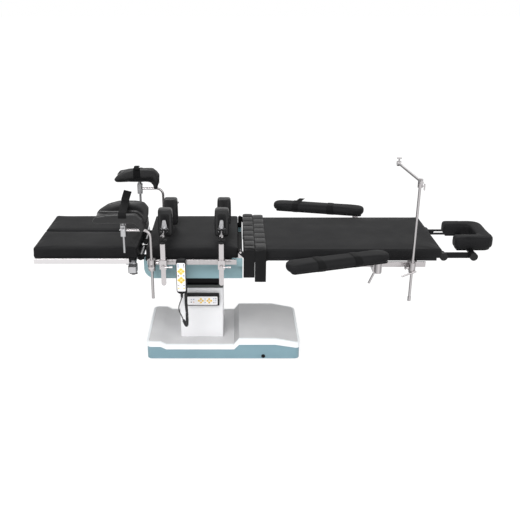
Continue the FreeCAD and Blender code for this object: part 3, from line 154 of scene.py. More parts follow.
def shade_by_facing(tree, shader, side, below, start=0.0, full=1.0):
    """Painted shade and reflection: darkens faces that look along X or down, as a studio's dark ends do in
    polish.

    The colour loses the share side as the normal's X part goes from start to full, and the share below as the
    face turns down."""
    way = add(tree, "ShaderNodeNewGeometry")
    way = add(tree, "ShaderNodeSeparateXYZ", {"Vector": (way, "Normal")})
    across = calc(tree, "ABSOLUTE", (way, "X"))
    across = spread(tree, (across, "Value"), start, full)
    down = calc(tree, "MULTIPLY", (way, "Z"), -below, use_clamp=True)
    both = calc(tree, "MULTIPLY_ADD", (across, "Result"), side, (down, "Value"), use_clamp=True)
    keep = calc(tree, "SUBTRACT", 1.0, (both, "Value"))
    colour = shader.inputs["Base Color"]
    scaled = add(tree, "ShaderNodeVectorMath", {"Scale": (keep, "Value")}, operation="SCALE")
    if colour.links:
        tree.links.new(colour.links[0].from_socket, scaled.inputs[0])
    else:
        scaled.inputs[0].default_value = colour.default_value[:3]
    tree.links.new(scaled.outputs["Vector"], colour)


def relief(tree, shader, *bumps):
    """Bumps over one another, the coarsest first: each has its height, its real depth and its strength."""
    under = {}
    for height, depth, share in bumps:
        bump = add(tree, "ShaderNodeBump", {"Height": height, "Distance": depth, "Strength": share, **under})
        under = {"Normal": (bump, "Normal")}
    tree.links.new(bump.outputs["Normal"], shader.inputs["Normal"])


def moulded_plastic(name, colour, dark, rough, grain=2.2, shine=0.5, shade=0.0):
    """Satin moulded ABS: a spark-eroded grain, that many millimetres wide, and a slightly cloudy colour."""
    material, tree, shader, place = finish_of(name, colour, rough, IOR=1.53, Specular_IOR_Level=shine)
    cloud = noise(tree, place, 6.0, 3.0)
    tint(tree, shader, (cloud, "Fac"), dark, colour)
    # Painted shade: the faces that turn along X lose up to the shade share of their colour.
    if shade:
        shade_by_facing(tree, shader, side=shade, below=0.0, start=0.22, full=0.55)
    fine = noise(tree, place, 1000 / grain, 2.0)
    relief(tree, shader, ((fine, "Fac"), 0.00006, 0.35))
    return material


def coated_metal(name, colour, dark, rough, peel=3.0, shine=0.5):
    """Powder coating on sheet steel: orange peel about 3 mm across and very shallow, with a soft gloss."""
    material, tree, shader, place = finish_of(name, colour, rough, IOR=1.5, Specular_IOR_Level=shine)
    cloud = noise(tree, place, 4.0, 2.0)
    tint(tree, shader, (cloud, "Fac"), dark, colour)
    skin = noise(tree, place, 1000 / peel, 1.0)
    relief(tree, shader, ((skin, "Fac"), 0.00005, 0.3))
    return material


def plated_steel(name, colour, rough, along="x"):
    """Ground and polished stainless steel: long fine scratches along the bar, drawn about 0.7 mm apart."""
    material, tree, shader, place = finish_of(name, colour, rough, Metallic=1.0)
    stretch = {"x": (20, 1400, 1400), "y": (1400, 20, 1400), "z": (1400, 1400, 20)}[along]
    drawn = add(tree, "ShaderNodeMapping", {"Vector": (place, "Object"), "Scale": stretch})
    scratch = add(tree, "ShaderNodeTexNoise", {"Vector": (drawn, "Vector"), "Scale": 1.0, "Detail": 2.0})
    smear = noise(tree, place, 14.0, 3.0)
    mixed = calc(tree, "MULTIPLY", (scratch, "Fac"), (smear, "Fac"))
    vary_gloss(tree, shader, (mixed, "Value"), 0.1, 0.4, rough - 0.06, rough + 0.1)
    # Painted reflection and painted shade: faces along X and faces turned down come out darker.
    shade_by_facing(tree, shader, side=0.72, below=0.6)
    relief(tree, shader, ((scratch, "Fac"), 0.00002, 0.25))
    return material


def soft_skin(name, colour, dark, rough, shine=0.05):
    """Soft polyurethane skin on moulded foam: pebbles about 1.6 mm wide over finer creases and slow waves."""
    material, tree, shader, place = finish_of(name, colour, rough, IOR=1.5, Specular_IOR_Level=shine)
    cloud = noise(tree, place, 9.0, 4.0)
    tint(tree, shader, (cloud, "Fac"), dark, colour)
    pebble = add(tree, "ShaderNodeTexVoronoi", {"Vector": (place, "Object"), "Scale": 620.0},
                 feature="SMOOTH_F1")
    crease = noise(tree, place, 260.0, 4.0)
    wave = noise(tree, place, 22.0, 2.0)
    relief(tree, shader, ((wave, "Fac"), 0.0012, 0.35), ((crease, "Fac"), 0.0002, 0.4),
           ((pebble, "Distance"), 0.00025, 0.5))
    vary_gloss(tree, shader, (cloud, "Fac"), 0.3, 0.7, rough - 0.05, rough + 0.07)
    return material


def webbing(name, colour, dark, rib=2.4):
    """Woven polyester webbing, read from the band's UV: ribs across it and a twill.

    Both waves are two rib widths long. A wave node turns by 20 radians a unit, and by 10 on the diagonal."""
    material, tree, shader, place = finish_of(name, colour, 0.7, Specular_IOR_Level=0.12, Sheen_Weight=0.04,
                                              Sheen_Roughness=0.4)
    ribs, twill = (add(tree, "ShaderNodeTexWave", {"Vector": (place, "UV"), "Distortion": wander,
                                                   "Scale": 1000 / rib / turn * math.pi}, bands_direction=way)
                   for way, turn, wander in (("X", 20, 0.4), ("DIAGONAL", 10, 0.6)))
    both = calc(tree, "ADD", (ribs, "Fac"), (twill, "Fac"))
    half = spread(tree, (both, "Value"), 0.0, 2.0)
    tint(tree, shader, (half, "Result"), dark, colour)
    relief(tree, shader, ((half, "Result"), 0.0004, 0.6))
    return material


def rubber(name, colour, rough):
    """Matt rubber with a dusty bloom."""
    material, tree, shader, place = finish_of(name, colour, rough, IOR=1.52)
    dust = noise(tree, place, 90.0, 5.0)
    vary_gloss(tree, shader, (dust, "Fac"), 0.3, 0.7, rough - 0.08, rough + 0.1)
    relief(tree, shader, ((dust, "Fac"), 0.00008, 0.4))
    return material


SKIRT = moulded_plastic("blue_abs_skirt", "7B9AA5", "74929D", 0.42)
RIM = moulded_plastic("white_abs_rim", "EFF3F5", "E6EAEC", 0.34)
# The cover's step faces come out darker by painted shade.
COVER = moulded_plastic("grey_abs_cover", "CFCFD0", "C3C3C5", 0.45, shade=0.26)
COLUMN = coated_metal("white_powder_coat", "EEEEF0", "E6E6E8", 0.4)
COLLAR = coated_metal("grey_powder_coat", "525553", "4A4D4B", 0.45, shine=0.2)
TUBE = plated_steel("ground_steel_tube", "D2D3D4", 0.3, "z")
BLACK_PAINT = coated_metal("black_enamel", "161618", "0F0F10", 0.4, shine=0.12)
FRAME_PAINT = coated_metal("black_powder_coat", "1D1D1F", "151516", 0.5, shine=0.15)
TEAL = coated_metal("teal_powder_coat", "83A1A7", "7998A0", 0.42)
CASE = moulded_plastic("black_abs_case", "17171A", "101012", 0.36, shine=0.2)
KNOB = moulded_plastic("black_nylon_knob", "1B1B1C", "131314", 0.4, shine=0.22)
STEEL_X = plated_steel("polished_steel_rail", "B9B5B6", 0.24, "x")
# The leg rails' steel: the rail steel made lighter, as painted light.
LIGHTER_STEEL_X = plated_steel("bright_steel_rail", "DDDADB", 0.3, "x")
STEEL_Z = plated_steel("polished_steel_post", "C6C2C3", 0.24, "z")
STEEL_Y = plated_steel("polished_steel_arm", "BDBABB", 0.24, "y")
ALLOY = plated_steel("satin_cast_alloy", "C2C2C4", 0.4, "x")
CYLINDER = plated_steel("machined_cylinder_steel", "A4A6A8", 0.35, "z")
RUBBER = rubber("black_rubber_foot", "202021", 0.75)
CORD_SKIN = rubber("black_cord_sleeve", "17171A", 0.5)
PAD_SKIN = soft_skin("black_pu_leather", "212122", "1B1B1C", 0.5)
STRAP = webbing("black_polyester_webbing", "0F0F10", "080809")
MOULDED_SKIN = soft_skin("black_moulded_foam_skin", "1C1C1D", "171718", 0.36, 0.4)
BAND_SKIN = soft_skin("black_quilted_skin", "121213", "0D0D0E", 0.34, 0.14)
KEY_SKINS = [moulded_plastic(name, colour, dark, 0.4) for name, colour, dark in (
    ("white_membrane", "F1F0F1", "E9E7E9"), ("yellow_membrane", "F4D060", "EDC452"),
    ("dark_membrane", "3A3238", "302A30"), ("blue_membrane", "6F8DAE", "6684A6"),
    ("grey_membrane", "A9A8AC", "9D9CA0"))]
KEY_ORANGE = moulded_plastic("orange_lens", "D8844A", "C97A45", 0.3)


# Meshes.


def run_of(points):
    """The distance along a line up to each of its points."""
    return np.concatenate([[0], np.cumsum(np.linalg.norm(np.diff(points, axis=0), axis=1))])


def evenly(points, count, endpoint=True):
    """A line read again at evenly spaced points."""
    run = run_of(points)
    even = np.linspace(0, run[-1], count, endpoint=endpoint)
    return np.stack([np.interp(even, run, points[:, k]) for k in range(points.shape[1])], 1)


def grid_faces(rows, columns, wrap_rows=False, wrap_columns=False):
    """Quads between neighbouring points of a rows by columns grid."""
    r = np.arange(rows if wrap_rows else rows - 1)
    c = np.arange(columns if wrap_columns else columns - 1)
    r, c = (a.ravel() for a in np.meshgrid(r, c, indexing="ij"))
    r2, c2 = (r + 1) % rows, (c + 1) % columns
    return np.stack([r * columns + c, r * columns + c2, r2 * columns + c2, r2 * columns + c], 1)


def swept(rings):
    """A closed shell through rings of points, an array of rings by points by 3, with a fan at each end."""
    count, around, _ = rings.shape
    points = np.vstack([rings.reshape(-1, 3), rings[0].mean(0), rings[-1].mean(0)])
    faces = grid_faces(count, around, wrap_columns=True).tolist()
    first, last = count * around, count * around + 1
    k = np.arange(around)
    after = (k + 1) % around
    base = (count - 1) * around
    faces += np.stack([after, k, np.full(around, first)], 1).tolist()
    faces += np.stack([base + k, base + after, np.full(around, last)], 1).tolist()
    return points, faces


def normals_along(path):
    """Two unit normals at each point of a path, carried along it with the least twist."""
    tangents = np.gradient(path, axis=0)
    tangents /= np.linalg.norm(tangents, axis=1)[:, None]
    side = np.cross(tangents[0], (0, 0, 1) if abs(tangents[0][2]) < 0.9 else (1, 0, 0))
    sides = []
    for t in tangents:
        side = side - (side @ t) * t
        side = side / np.linalg.norm(side)
        sides.append(side)
    sides = np.array(sides)
    return sides, np.cross(tangents, sides)


def turned(start, along, profile, around=28):
    """A turned part: profile holds (distance along the axis, radius) from a start point."""
    along = np.array(along, float)
    along /= np.linalg.norm(along)
    profile = np.array(profile, float)
    u = np.cross(along, (0, 0, 1) if abs(along[2]) < 0.9 else (1, 0, 0))
    u /= np.linalg.norm(u)
    v = np.cross(along, u)
    angle = np.linspace(0, 2 * np.pi, around, endpoint=False)
    ring = np.cos(angle)[None, :, None] * u + np.sin(angle)[None, :, None] * v
    centre = np.array(start, float) + profile[:, :1] * along
    return swept(centre[:, None] + profile[:, 1][:, None, None] * ring)


def round_rectangle(width, height, radius, steps=5):
    """The corner-rounded outline of a key or plate, centred on 0, counter-clockwise."""
    angle = np.linspace(0, np.pi / 2, steps)
    arc = np.stack([np.cos(angle), np.sin(angle)], 1) * radius
    points = []
    for k, (sx, sy) in enumerate(((1, 1), (-1, 1), (-1, -1), (1, -1))):
        turn = k * np.pi / 2
        c, s = np.cos(turn), np.sin(turn)
        spun = arc @ np.array([[c, s], [-s, c]])
        points.append(spun + np.array([sx * (width / 2 - radius), sy * (height / 2 - radius)]))
    return np.vstack(points)


def facing_front(outline, x, z, y_front, depth):
    """A plate standing in the XZ plane: its outline at (x, z), its front at y_front, as deep as depth."""
    outline = np.array(outline, float)
    ring = np.stack([outline[:, 0] + x, np.zeros(len(outline)), outline[:, 1] + z], 1)
    back = ring + (0, y_front + depth, 0)
    front = ring + (0, y_front, 0)
    eased = (ring - (x, 0, z)) * 0.97 + (x, y_front - 0.0001, z)
    return swept(np.stack([back, front, eased]))


def mark_sharp(work):
    """Smooth shading, with a hard line at every sharp or open edge."""
    for face in work.faces:
        face.smooth = True
    for edge in work.edges:
        edge.smooth = len(edge.link_faces) == 2 and edge.calc_face_angle(0) < SHARP


def mesh_of(work, name):
    """The mesh of a bmesh that is done with."""
    mesh = bpy.data.meshes.new(name)
    work.to_mesh(mesh)
    work.free()
    return mesh


def make_mesh(name, parts):
    """A mesh of several closed parts, each (points, faces) with the number of its material."""
    points, faces, painted, offset = [], [], [], 0
    for (part_points, part_faces), paint in parts:
        points.append(part_points)
        faces += [[i + offset for i in face] for face in part_faces]
        painted += [paint] * len(part_faces)
        offset += len(part_points)
    mesh = bpy.data.meshes.new(name)
    mesh.from_pydata(np.vstack(points).tolist(), [], faces)
    mesh.polygons.foreach_set("material_index", painted)
    work = bmesh.new()
    work.from_mesh(mesh)
    bmesh.ops.recalc_face_normals(work, faces=work.faces)
    mark_sharp(work)
    work.to_mesh(mesh)
    work.free()
    return mesh


def show(name, mesh, materials, body, bevel=0.0):
    """Puts a mesh into the scene as a piece that rides on a body."""
    thing = put(name, mesh)
    for material in materials:
        mesh.materials.append(material)
    if bevel:
        soften(thing, bevel)
    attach(thing, body)
    return thing


def soften(thing, width):
    """A small round on every sharp edge."""
    configure(thing.modifiers.new("round", "BEVEL"),
              {"width": width, "segments": 2, "limit_method": "ANGLE", "angle_limit": SHARP,
               "harden_normals": True})


def welded(node):
    """A welded copy of a CAD node's mesh."""
    work = bmesh.new()
    work.from_mesh(NODES[node].data)
    bmesh.ops.remove_doubles(work, verts=work.verts, dist=WELD)
    return work


def cad_copy(node):
    """A welded copy of a CAD node's mesh with its flat facets joined."""
    work = welded(node)
    bmesh.ops.dissolve_limit(work, angle_limit=math.radians(0.4), verts=work.verts, edges=work.edges)
    bmesh.ops.recalc_face_normals(work, faces=work.faces)
    return work


def inside(centre, box):
    """Whether a point lies in a box."""
    return all(box[0][k] <= centre[k] <= box[1][k] for k in range(3))


def dress(node, material, bevel, regions, cut=None):
    """A rigid piece over its CAD node: the same form with rounded edges.

    A face whose middle lies in a region's box takes its paint; cut splits the faces at that height first."""
    work = cad_copy(node)
    if cut:
        bmesh.ops.bisect_plane(work, geom=work.verts[:] + work.edges[:] + work.faces[:],
                               plane_co=(0, 0, cut), plane_no=(0, 0, 1))
    materials = [material] + [paint for paint, _ in regions]
    for face in work.faces:
        centre = face.calc_center_median()
        face.material_index = next((k for k, (_, box) in enumerate(regions, 1) if inside(centre, box)), 0)
    mark_sharp(work)
    name = "form_" + node
    thing = show(name, mesh_of(work, name), materials, BODY_OF[node], bevel * MM)
    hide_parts(node)
    return thing


# The hand control's cord: its plain tail from the housing, and the middle line of its curl to the socket.

TAIL_ROUTE = [(-0.0825, -0.301, 0.405), (-0.0825, -0.301, 0.388), (-0.092, -0.3025, 0.368),
              (-0.099, -0.3055, 0.345), (-0.097, -0.3085, 0.323), (-0.088, -0.3105, 0.306),
              (-0.081, -0.311, 0.288)]
COIL_ROUTE = [(-0.081, -0.311, 0.288), (-0.07322, -0.31156, 0.268), (-0.067, -0.298, 0.2455),
              (-0.0655, -0.274, 0.232), (-0.0655, -0.246, 0.232), (-0.0665, -0.2225, 0.2455),
              (-0.068, -0.209, 0.269), (-0.0705, -0.2085, 0.302), (-0.0715, -0.2105, 0.342),
              (-0.0705, -0.2115, 0.380), (-0.069, -0.210, 0.415), (-0.069, -0.210, 0.450)]
CORD_RADIUS = 2.5 * MM
CURL_RADIUS = 5.1 * MM
CURL_TURNS = 56
CURL_STEPS = 14  # points to a turn
CURL_GROWS, CURL_FADES = 0.045, 0.03  # shares of the curl's line
SLEEVE = [(0.0, 5.6), (0.002, 5.6), (0.003, 4.9), (0.005, 5.3), (0.006, 4.6), (0.008, 5.0), (0.009, 4.3),
          (0.011, 4.6), (0.012, 4.0), (0.014, 4.1), (0.0155, 3.3), (0.016, 2.7)]  # metres down, radius in mm


def smooth_curve(name, points, radius=0.0, resolution=4):
    """A curve of one open spline through the pull of its control points."""
    data = bpy.data.curves.new(name, "CURVE")
    configure(data, {"dimensions": "3D", "resolution_u": resolution, "bevel_depth": radius,
                     "bevel_resolution": 3, "use_fill_caps": radius > 0})
    spline = data.splines.new("NURBS")
    spline.points.add(len(points) - 1)
    flat = np.ones((len(points), 4))
    flat[:, :3] = points
    spline.points.foreach_set("co", flat.ravel())
    spline.order_u = 3
    spline.use_endpoint_u = True
    return put(name, data)


def read(items, key, width=3, kind=float):
    """One attribute of a mesh's points, edges or corners, a row for each."""
    found = np.zeros(len(items) * width, kind)
    items.foreach_get(key, found)
    return found.reshape(-1, width)


def positions(mesh):
    """Every point of a mesh."""
    return read(mesh.vertices, "co")


def solved(thing):
    """A new mesh of an object with its curve or modifiers worked out."""
    return bpy.data.meshes.new_from_object(thing.evaluated_get(bpy.context.evaluated_depsgraph_get()))


def read_line(route, count):
    """Evenly spaced points read from a route's own spline."""
    guide = smooth_curve("guide", route, resolution=24)
    mesh = solved(guide)
    found = positions(mesh)
    bpy.data.objects.remove(guide)
    bpy.data.meshes.remove(mesh)
    return evenly(found, count)


def make_cord():
    """A plain tail, then a curl round the line of the coil route, and into its socket.

    Its radius and its rate of turning rise from nothing over the first share and fall over the last, as three
    times the square of the way gone less twice its cube."""
    line = read_line(COIL_ROUTE, CURL_TURNS * CURL_STEPS + 1)
    u, v = normals_along(line)
    place = np.linspace(0, 1, len(line))
    grown = np.clip(np.minimum(place / CURL_GROWS, (1 - place) / CURL_FADES), 0, 1)
    grown = grown * grown * (3 - 2 * grown)
    turn = (np.cumsum(grown) * 2 * np.pi / CURL_STEPS)[:, None]
    curl = line + grown[:, None] * CURL_RADIUS * (np.cos(turn) * u + np.sin(turn) * v)
    cord = smooth_curve("hand_control_cord", np.vstack([TAIL_ROUTE[:-1], curl]), CORD_RADIUS)
    cord.data.materials.append(CORD_SKIN)
    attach(cord, "seat")
    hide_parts("pendant_cord_tail", "pendant_cord_coil")
    sleeve = turned((-0.0825, -0.301, 0.4052), (0, 0, -1), [(a, r * MM) for a, r in SLEEVE])
    sleeve = show("cord_sleeve", make_mesh("cord_sleeve", [(sleeve, 0)]), [RUBBER], "seat")


# Pads.

SWELL_FRAMES = 20
FOAM_COVER = {"quality": 4, "mass": 0.3, "tension_stiffness": 18, "compression_stiffness": 18,
              "shear_stiffness": 8, "bending_stiffness": 4, "use_pressure": True,
              "uniform_pressure_force": 4, "vertex_group_mass": "held"}


def largest_part(work):
    """Drops every loose part of a mesh but the one that fills the largest box."""
    seen, parts = set(), []
    for vert in work.verts:
        if vert.index in seen:
            continue
        stack, part = [vert], []
        seen.add(vert.index)
        while stack:
            here = stack.pop()
            part.append(here)
            for edge in here.link_edges:
                there = edge.other_vert(here)
                if there.index not in seen:
                    seen.add(there.index)
                    stack.append(there)
        parts.append(part)
    size = [np.prod(np.ptp(np.array([v.co for v in part]), axis=0) + 1e-6) for part in parts]
    best = int(np.argmax(size))
    gone = [v for k, part in enumerate(parts) if k != best for v in part]
    bmesh.ops.delete(work, geom=gone, context="VERTS")


def even_mesh(name, node, voxel):
    """A pad's solid in even facets of about one voxel, laid back on its own faces."""
    work = welded(node)
    work.verts.index_update()
    largest_part(work)
    mesh = mesh_of(work, name)
    shape = put(name + "_shape", mesh)
    even = put(name + "_even", mesh.copy())
    even.modifiers.new("even", "REMESH").voxel_size = voxel
    even.modifiers["even"].mode = "VOXEL"
    even.modifiers.new("wrap", "SHRINKWRAP").target = shape
    bpy.context.view_layer.update()
    mesh = solved(even)
    for thing in (shape, even):
        bpy.data.objects.remove(thing)
    mesh.name = name
    return mesh


def eased(mesh, start, held, passes):
    """Points moved towards the middle of their neighbours a few times, all but the held ones."""
    ends = read(mesh.edges, "vertices", 2, int)
    count = np.bincount(ends.ravel(), minlength=len(start))[:, None]
    for _ in range(passes):
        total = np.zeros_like(start)
        for a, b in ((0, 1), (1, 0)):
            np.add.at(total, ends[:, a], start[ends[:, b]])
        start = np.where(held[:, None], start, start * 0.4 + total / count * 0.6)
    return start


def start_foam(name, node, voxel, inset, pin_foot, rounding):
    """A pad's evenly meshed copy, a little smaller than its solid and ready to swell."""
    mesh = even_mesh(name, node, voxel)
    place = positions(mesh)
    normal = read(mesh.vertex_normals, "vector")
    held = (place[:, 2] < place[:, 2].min() + 1.5 * MM) & (normal[:, 2] < -0.7) & pin_foot
    start = place - normal * inset * (~held)[:, None]
    if rounding:
        start = eased(mesh, start, held, rounding) + normal * 1.6 * MM * (~held)[:, None]
    mesh.vertices.foreach_set("co", start.ravel())
    thing = put(name, mesh)
    thing.vertex_groups.new(name="held").add(np.flatnonzero(held).tolist(), 1.0, "REPLACE")
    return thing


def swell(things, caps):
    """Blows all pads up together under pressure with no gravity, then limits how far each point went."""
    scene = bpy.context.scene
    configure(scene, {"frame_start": 1, "frame_end": SWELL_FRAMES})
    for thing in things:
        cloth = thing.modifiers.new("air", "CLOTH")
        configure(cloth.settings, FOAM_COVER)
        cloth.settings.effector_weights.gravity = 0
        cloth.collision_settings.use_collision = False
        configure(cloth.point_cache, {"frame_start": 1, "frame_end": SWELL_FRAMES})
    for number in range(1, SWELL_FRAMES + 1):
        scene.frame_set(number)
    graph = bpy.context.evaluated_depsgraph_get()
    for thing, cap in zip(things, caps):
        before = positions(thing.data)
        after = positions(thing.evaluated_get(graph).data)
        step = after - before
        far = np.linalg.norm(step, axis=1)[:, None] + 1e-9
        thing.data.vertices.foreach_set("co", (before + step / far * cap * np.tanh(far / cap)).ravel())
        thing.modifiers.clear()
        thing.data.update()
    scene.frame_set(1)


def smooth_pad(thing, material, body, slot, fill, *nodes):
    """The last step of a pad: one subdivision, its skin, its body and what it stands for."""
    thing.data.shade_smooth()
    thing.data.materials.clear()
    thing.data.materials.append(material)
    finer = thing.modifiers.new("finer", "SUBSURF")
    finer.levels = finer.render_levels = 1
    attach(thing, body)
    if nodes:
        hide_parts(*nodes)
    return thing


def twin(thing, name, matrix):
    """The same pad at another place, or mirrored."""
    mesh = thing.data.copy()
    mesh.transform(matrix)
    if matrix.determinant() < 0:
        mesh.flip_normals()
    return put(name, mesh)


MIRROR = Matrix.Scale(-1, 4, (0, 1, 0))
NEAR_BOARD = Matrix.Translation((0.820, -0.335, 0)) @ Matrix.Rotation(math.radians(17.5), 4, "Z")
FAR_BOARD = Matrix.Translation((0.820, 0.352, 0)) @ Matrix.Rotation(math.radians(-13), 4, "Z")
# For each side support: its place along the table, its side, the height of its pad's axis, its pad's distance
# from the middle.
SUPPORTS = {"near_left": (-0.164, -1, 0.692, 0.135), "near_right": (0.104, -1, 0.692, 0.135),
            "far_left": (-0.153, 1, 0.684, 0.060), "far_right": (0.112, 1, 0.684, 0.060)}


def rise(past, span):
    """0 to 1 as a distance goes from nothing to its span."""
    return np.clip(past / span, 0, 1)


def move_points(mesh, place):
    """Gives a mesh its points again from an array."""
    mesh.vertices.foreach_set("co", place.ravel())
    mesh.update()


def raise_pads(pads):
    """Fuller tops for the crutch and the head ring, whose slot the foam closes by a few millimetres."""
    mesh = pads["crutch_cushion_near"].data
    place = positions(mesh)
    along = rise(place[:, 0] + 0.455, 0.10) * rise(-0.232 - place[:, 0], 0.05)
    place[:, 2] += 9 * MM * rise(place[:, 2] - 0.790, 0.045) * along ** 0.7
    move_points(mesh, place)
    mesh = pads["head_ring"].data
    place = positions(mesh)
    inner = rise(0.085 - np.abs(place[:, 1]), 0.05) * rise(1.352 - place[:, 0], 0.03)
    place[:, 1] -= np.sign(place[:, 1]) * 12 * MM * inner * rise(place[:, 2] - 0.574, 0.02)
    place[:, 2] += 8 * MM * rise(place[:, 2] - 0.595, 0.025)
    move_points(mesh, place)


def pair_of_pads(pads, kind, body, material, fill, move):
    """A near pad and its twin on the far side."""
    near, name = pads[kind + "_cushion_near"], kind + "_cushion_far"
    pads[name] = twin(near, name, move)
    for side, thing in (("near", near), ("far", pads[name])):
        smooth_pad(thing, material, body + "_" + side, "pad_black", fill, kind + "_pad_" + side)


def make_pads():
    """Every foam pad; one of each kind is swollen and its twins are copied from it.

    A kind's row: name, CAD node, voxel, inset and the most it may swell in mm, whether its foot is held, and
    how many times its edges are eased."""
    kinds = [("seat_cushion", "seat_pad", 7.0, 2.0, 2.6, True, 0),
             ("back_cushion", "back_pad", 8.0, 2.0, 2.4, True, 0),
             ("leg_cushion_near", "leg_pad_near", 6.0, 2.0, 2.6, True, 0),
             ("arm_cushion_near", "arm_pad_near", 4.5, 2.0, 4.5, True, 6),
             ("side_cushion_near_left", "support_pad_near_left", 4.0, 2.0, 3.4, False, 1),
             ("head_ring", "head_cushion", 5.0, 2.5, 7.0, True, 5),
             ("crutch_cushion_near", "crutch_pad_near", 4.5, 1.0, 4.0, False, 8)]
    pads = {name: start_foam(name, node, voxel * MM, inset * MM, pin, rounding)
            for name, node, voxel, inset, _, pin, rounding in kinds}
    swell(list(pads.values()), [kind[4] * MM for kind in kinds])
    raise_pads(pads)
    smooth_pad(pads["seat_cushion"], PAD_SKIN, "seat", "pad_black", 0.9, "seat_pad")
    smooth_pad(pads["back_cushion"], PAD_SKIN, "back", "pad_black", 0.9, "back_pad")
    pair_of_pads(pads, "leg", "leg", PAD_SKIN, 0.9, MIRROR)
    pair_of_pads(pads, "arm", "arm_board", PAD_SKIN, 0.85, FAR_BOARD @ NEAR_BOARD.inverted())
    first = pads["side_cushion_near_left"]
    x0, _, z0, y0 = SUPPORTS["near_left"]
    for place, (x, side, z, y) in SUPPORTS.items():
        shift = Matrix.Translation((x - x0, y0 - y, z - z0))
        if side > 0:
            shift = MIRROR @ shift
        pad = first if place == "near_left" else twin(first, "side_cushion_" + place, shift)
        smooth_pad(pad, MOULDED_SKIN, "side_pad_" + place, "pad_black", 0.9)
    smooth_pad(pads["head_ring"], PAD_SKIN, "headrest", "pad_black", 0.85, "head_cushion")
    pair_of_pads(pads, "crutch", "crutch", MOULDED_SKIN, 0.85, Matrix.Translation((0, 0, 0.017)) @ MIRROR)
    return pads


# Straps.


def band(path, across, width, thick, closed=False, lanes=11, out=1):
    """A flat strap: its inner face on the path, its outer face thick above it.

    It thins to 0.45 at its two edges, by the sixth power of the way from the middle."""
    path = np.array(path, float)
    across = np.array(across, float)
    if closed:
        tangent = np.roll(path, -1, axis=0) - np.roll(path, 1, axis=0)
    else:
        tangent = np.gradient(path, axis=0)
    tangent /= np.linalg.norm(tangent, axis=1)[:, None]
    normal = np.cross(tangent, across) * out
    t = np.linspace(-1, 1, lanes)
    thick = np.broadcast_to(np.array(thick, float).reshape(-1, 1), (len(path), 1))
    height = thick * (1 - 0.55 * t[None] ** 6)
    inner = path[:, None] + t[None, :, None] * width / 2 * across
    outer = inner + height[:, :, None] * normal[:, None]
    rings = np.concatenate([inner, outer[:, ::-1]], axis=1)
    side = np.concatenate([t, t[::-1]]) * width / 2
    uv = np.stack(np.broadcast_arrays(run_of(path)[:, None], side[None]), 2).reshape(-1, 2)
    if closed:
        return (rings.reshape(-1, 3), grid_faces(len(path), 2 * lanes, True, True).tolist()), uv
    return swept(rings), np.vstack([uv, uv[:1], uv[-1:]])


def show_bands(name, bands, material, body, slot, *nodes):
    """Several straps as one piece, with the weave's UV in metres."""
    mesh = make_mesh(name, [(made, 0) for made, _ in bands])
    flat = np.vstack([uv for _, uv in bands])
    corners = read(mesh.loops, "vertex_index", 1, int)
    mesh.uv_layers.new(name="UVMap").data.foreach_set("uv", flat[corners].ravel())
    thing = show(name, mesh, [material], body)
    if nodes:
        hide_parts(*nodes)
    return thing


def round_path(corners, radius, step=0.003):
    """A polyline with round corners, evenly divided."""
    corners = [np.array(c, float) for c in corners]
    points = [corners[0]]
    for before, here, after in zip(corners, corners[1:], corners[2:]):
        a = (before - here) / np.linalg.norm(before - here)
        b = (after - here) / np.linalg.norm(after - here)
        for s in np.linspace(0, 1, 9):
            points.append(here + radius * ((1 - s) ** 2 * a + s ** 2 * b))
    points.append(corners[-1])
    points = np.array(points)
    return evenly(points, int(run_of(points)[-1] / step) + 1)


def make_body_straps():
    """Two quilted bands over the back pad, sewn across every 72 mm, with flat tails down both sides.

    A quilt's height follows the sine of the way from seam to seam, raised to 0.6; a hem lies 16 mm above each
    tail's end."""
    seams, width, inner, top = 0.072, 0.0525, 0.2605, 0.6146
    bands = []
    for index, foot in ((0, 0.477), (1, 0.455)):
        x = 0.2325 + index * 0.0535
        path = round_path([(x, -inner, foot), (x, -inner, top), (x, inner, top), (x, inner, foot)], 0.012)
        run = run_of(path)
        middle = run[-1] / 2
        puff = np.abs(np.sin(np.pi * (run - middle + seams / 2 * index) / seams)) ** 0.6
        hem = np.exp(-((path[:, 2] - foot - 0.016) / 0.0035) ** 2)
        thick = (2.8 + rise(path[:, 2] - 0.600, 0.012) * (0.2 + 6.6 * puff) + 1.6 * hem) * MM
        bands.append(band(path, (1, 0, 0), width, thick, lanes=15, out=-1))
    show_bands("body_bands", bands, BAND_SKIN, "back", "strap_black", "body_straps")


def hull_loop(points):
    """The outer loop of flat points, counter-clockwise."""
    order = points[np.lexsort((points[:, 1], points[:, 0]))]

    def half(run):
        """The side of the loop that turns left all along a sorted run."""
        kept = []
        for p in run:
            while len(kept) > 1:
                a, b = kept[-1] - kept[-2], p - kept[-2]
                if a[0] * b[1] - a[1] * b[0] > 0:
                    break
                kept.pop()
            kept.append(p)
        return kept[:-1]

    return np.array(half(order) + half(order[::-1]))


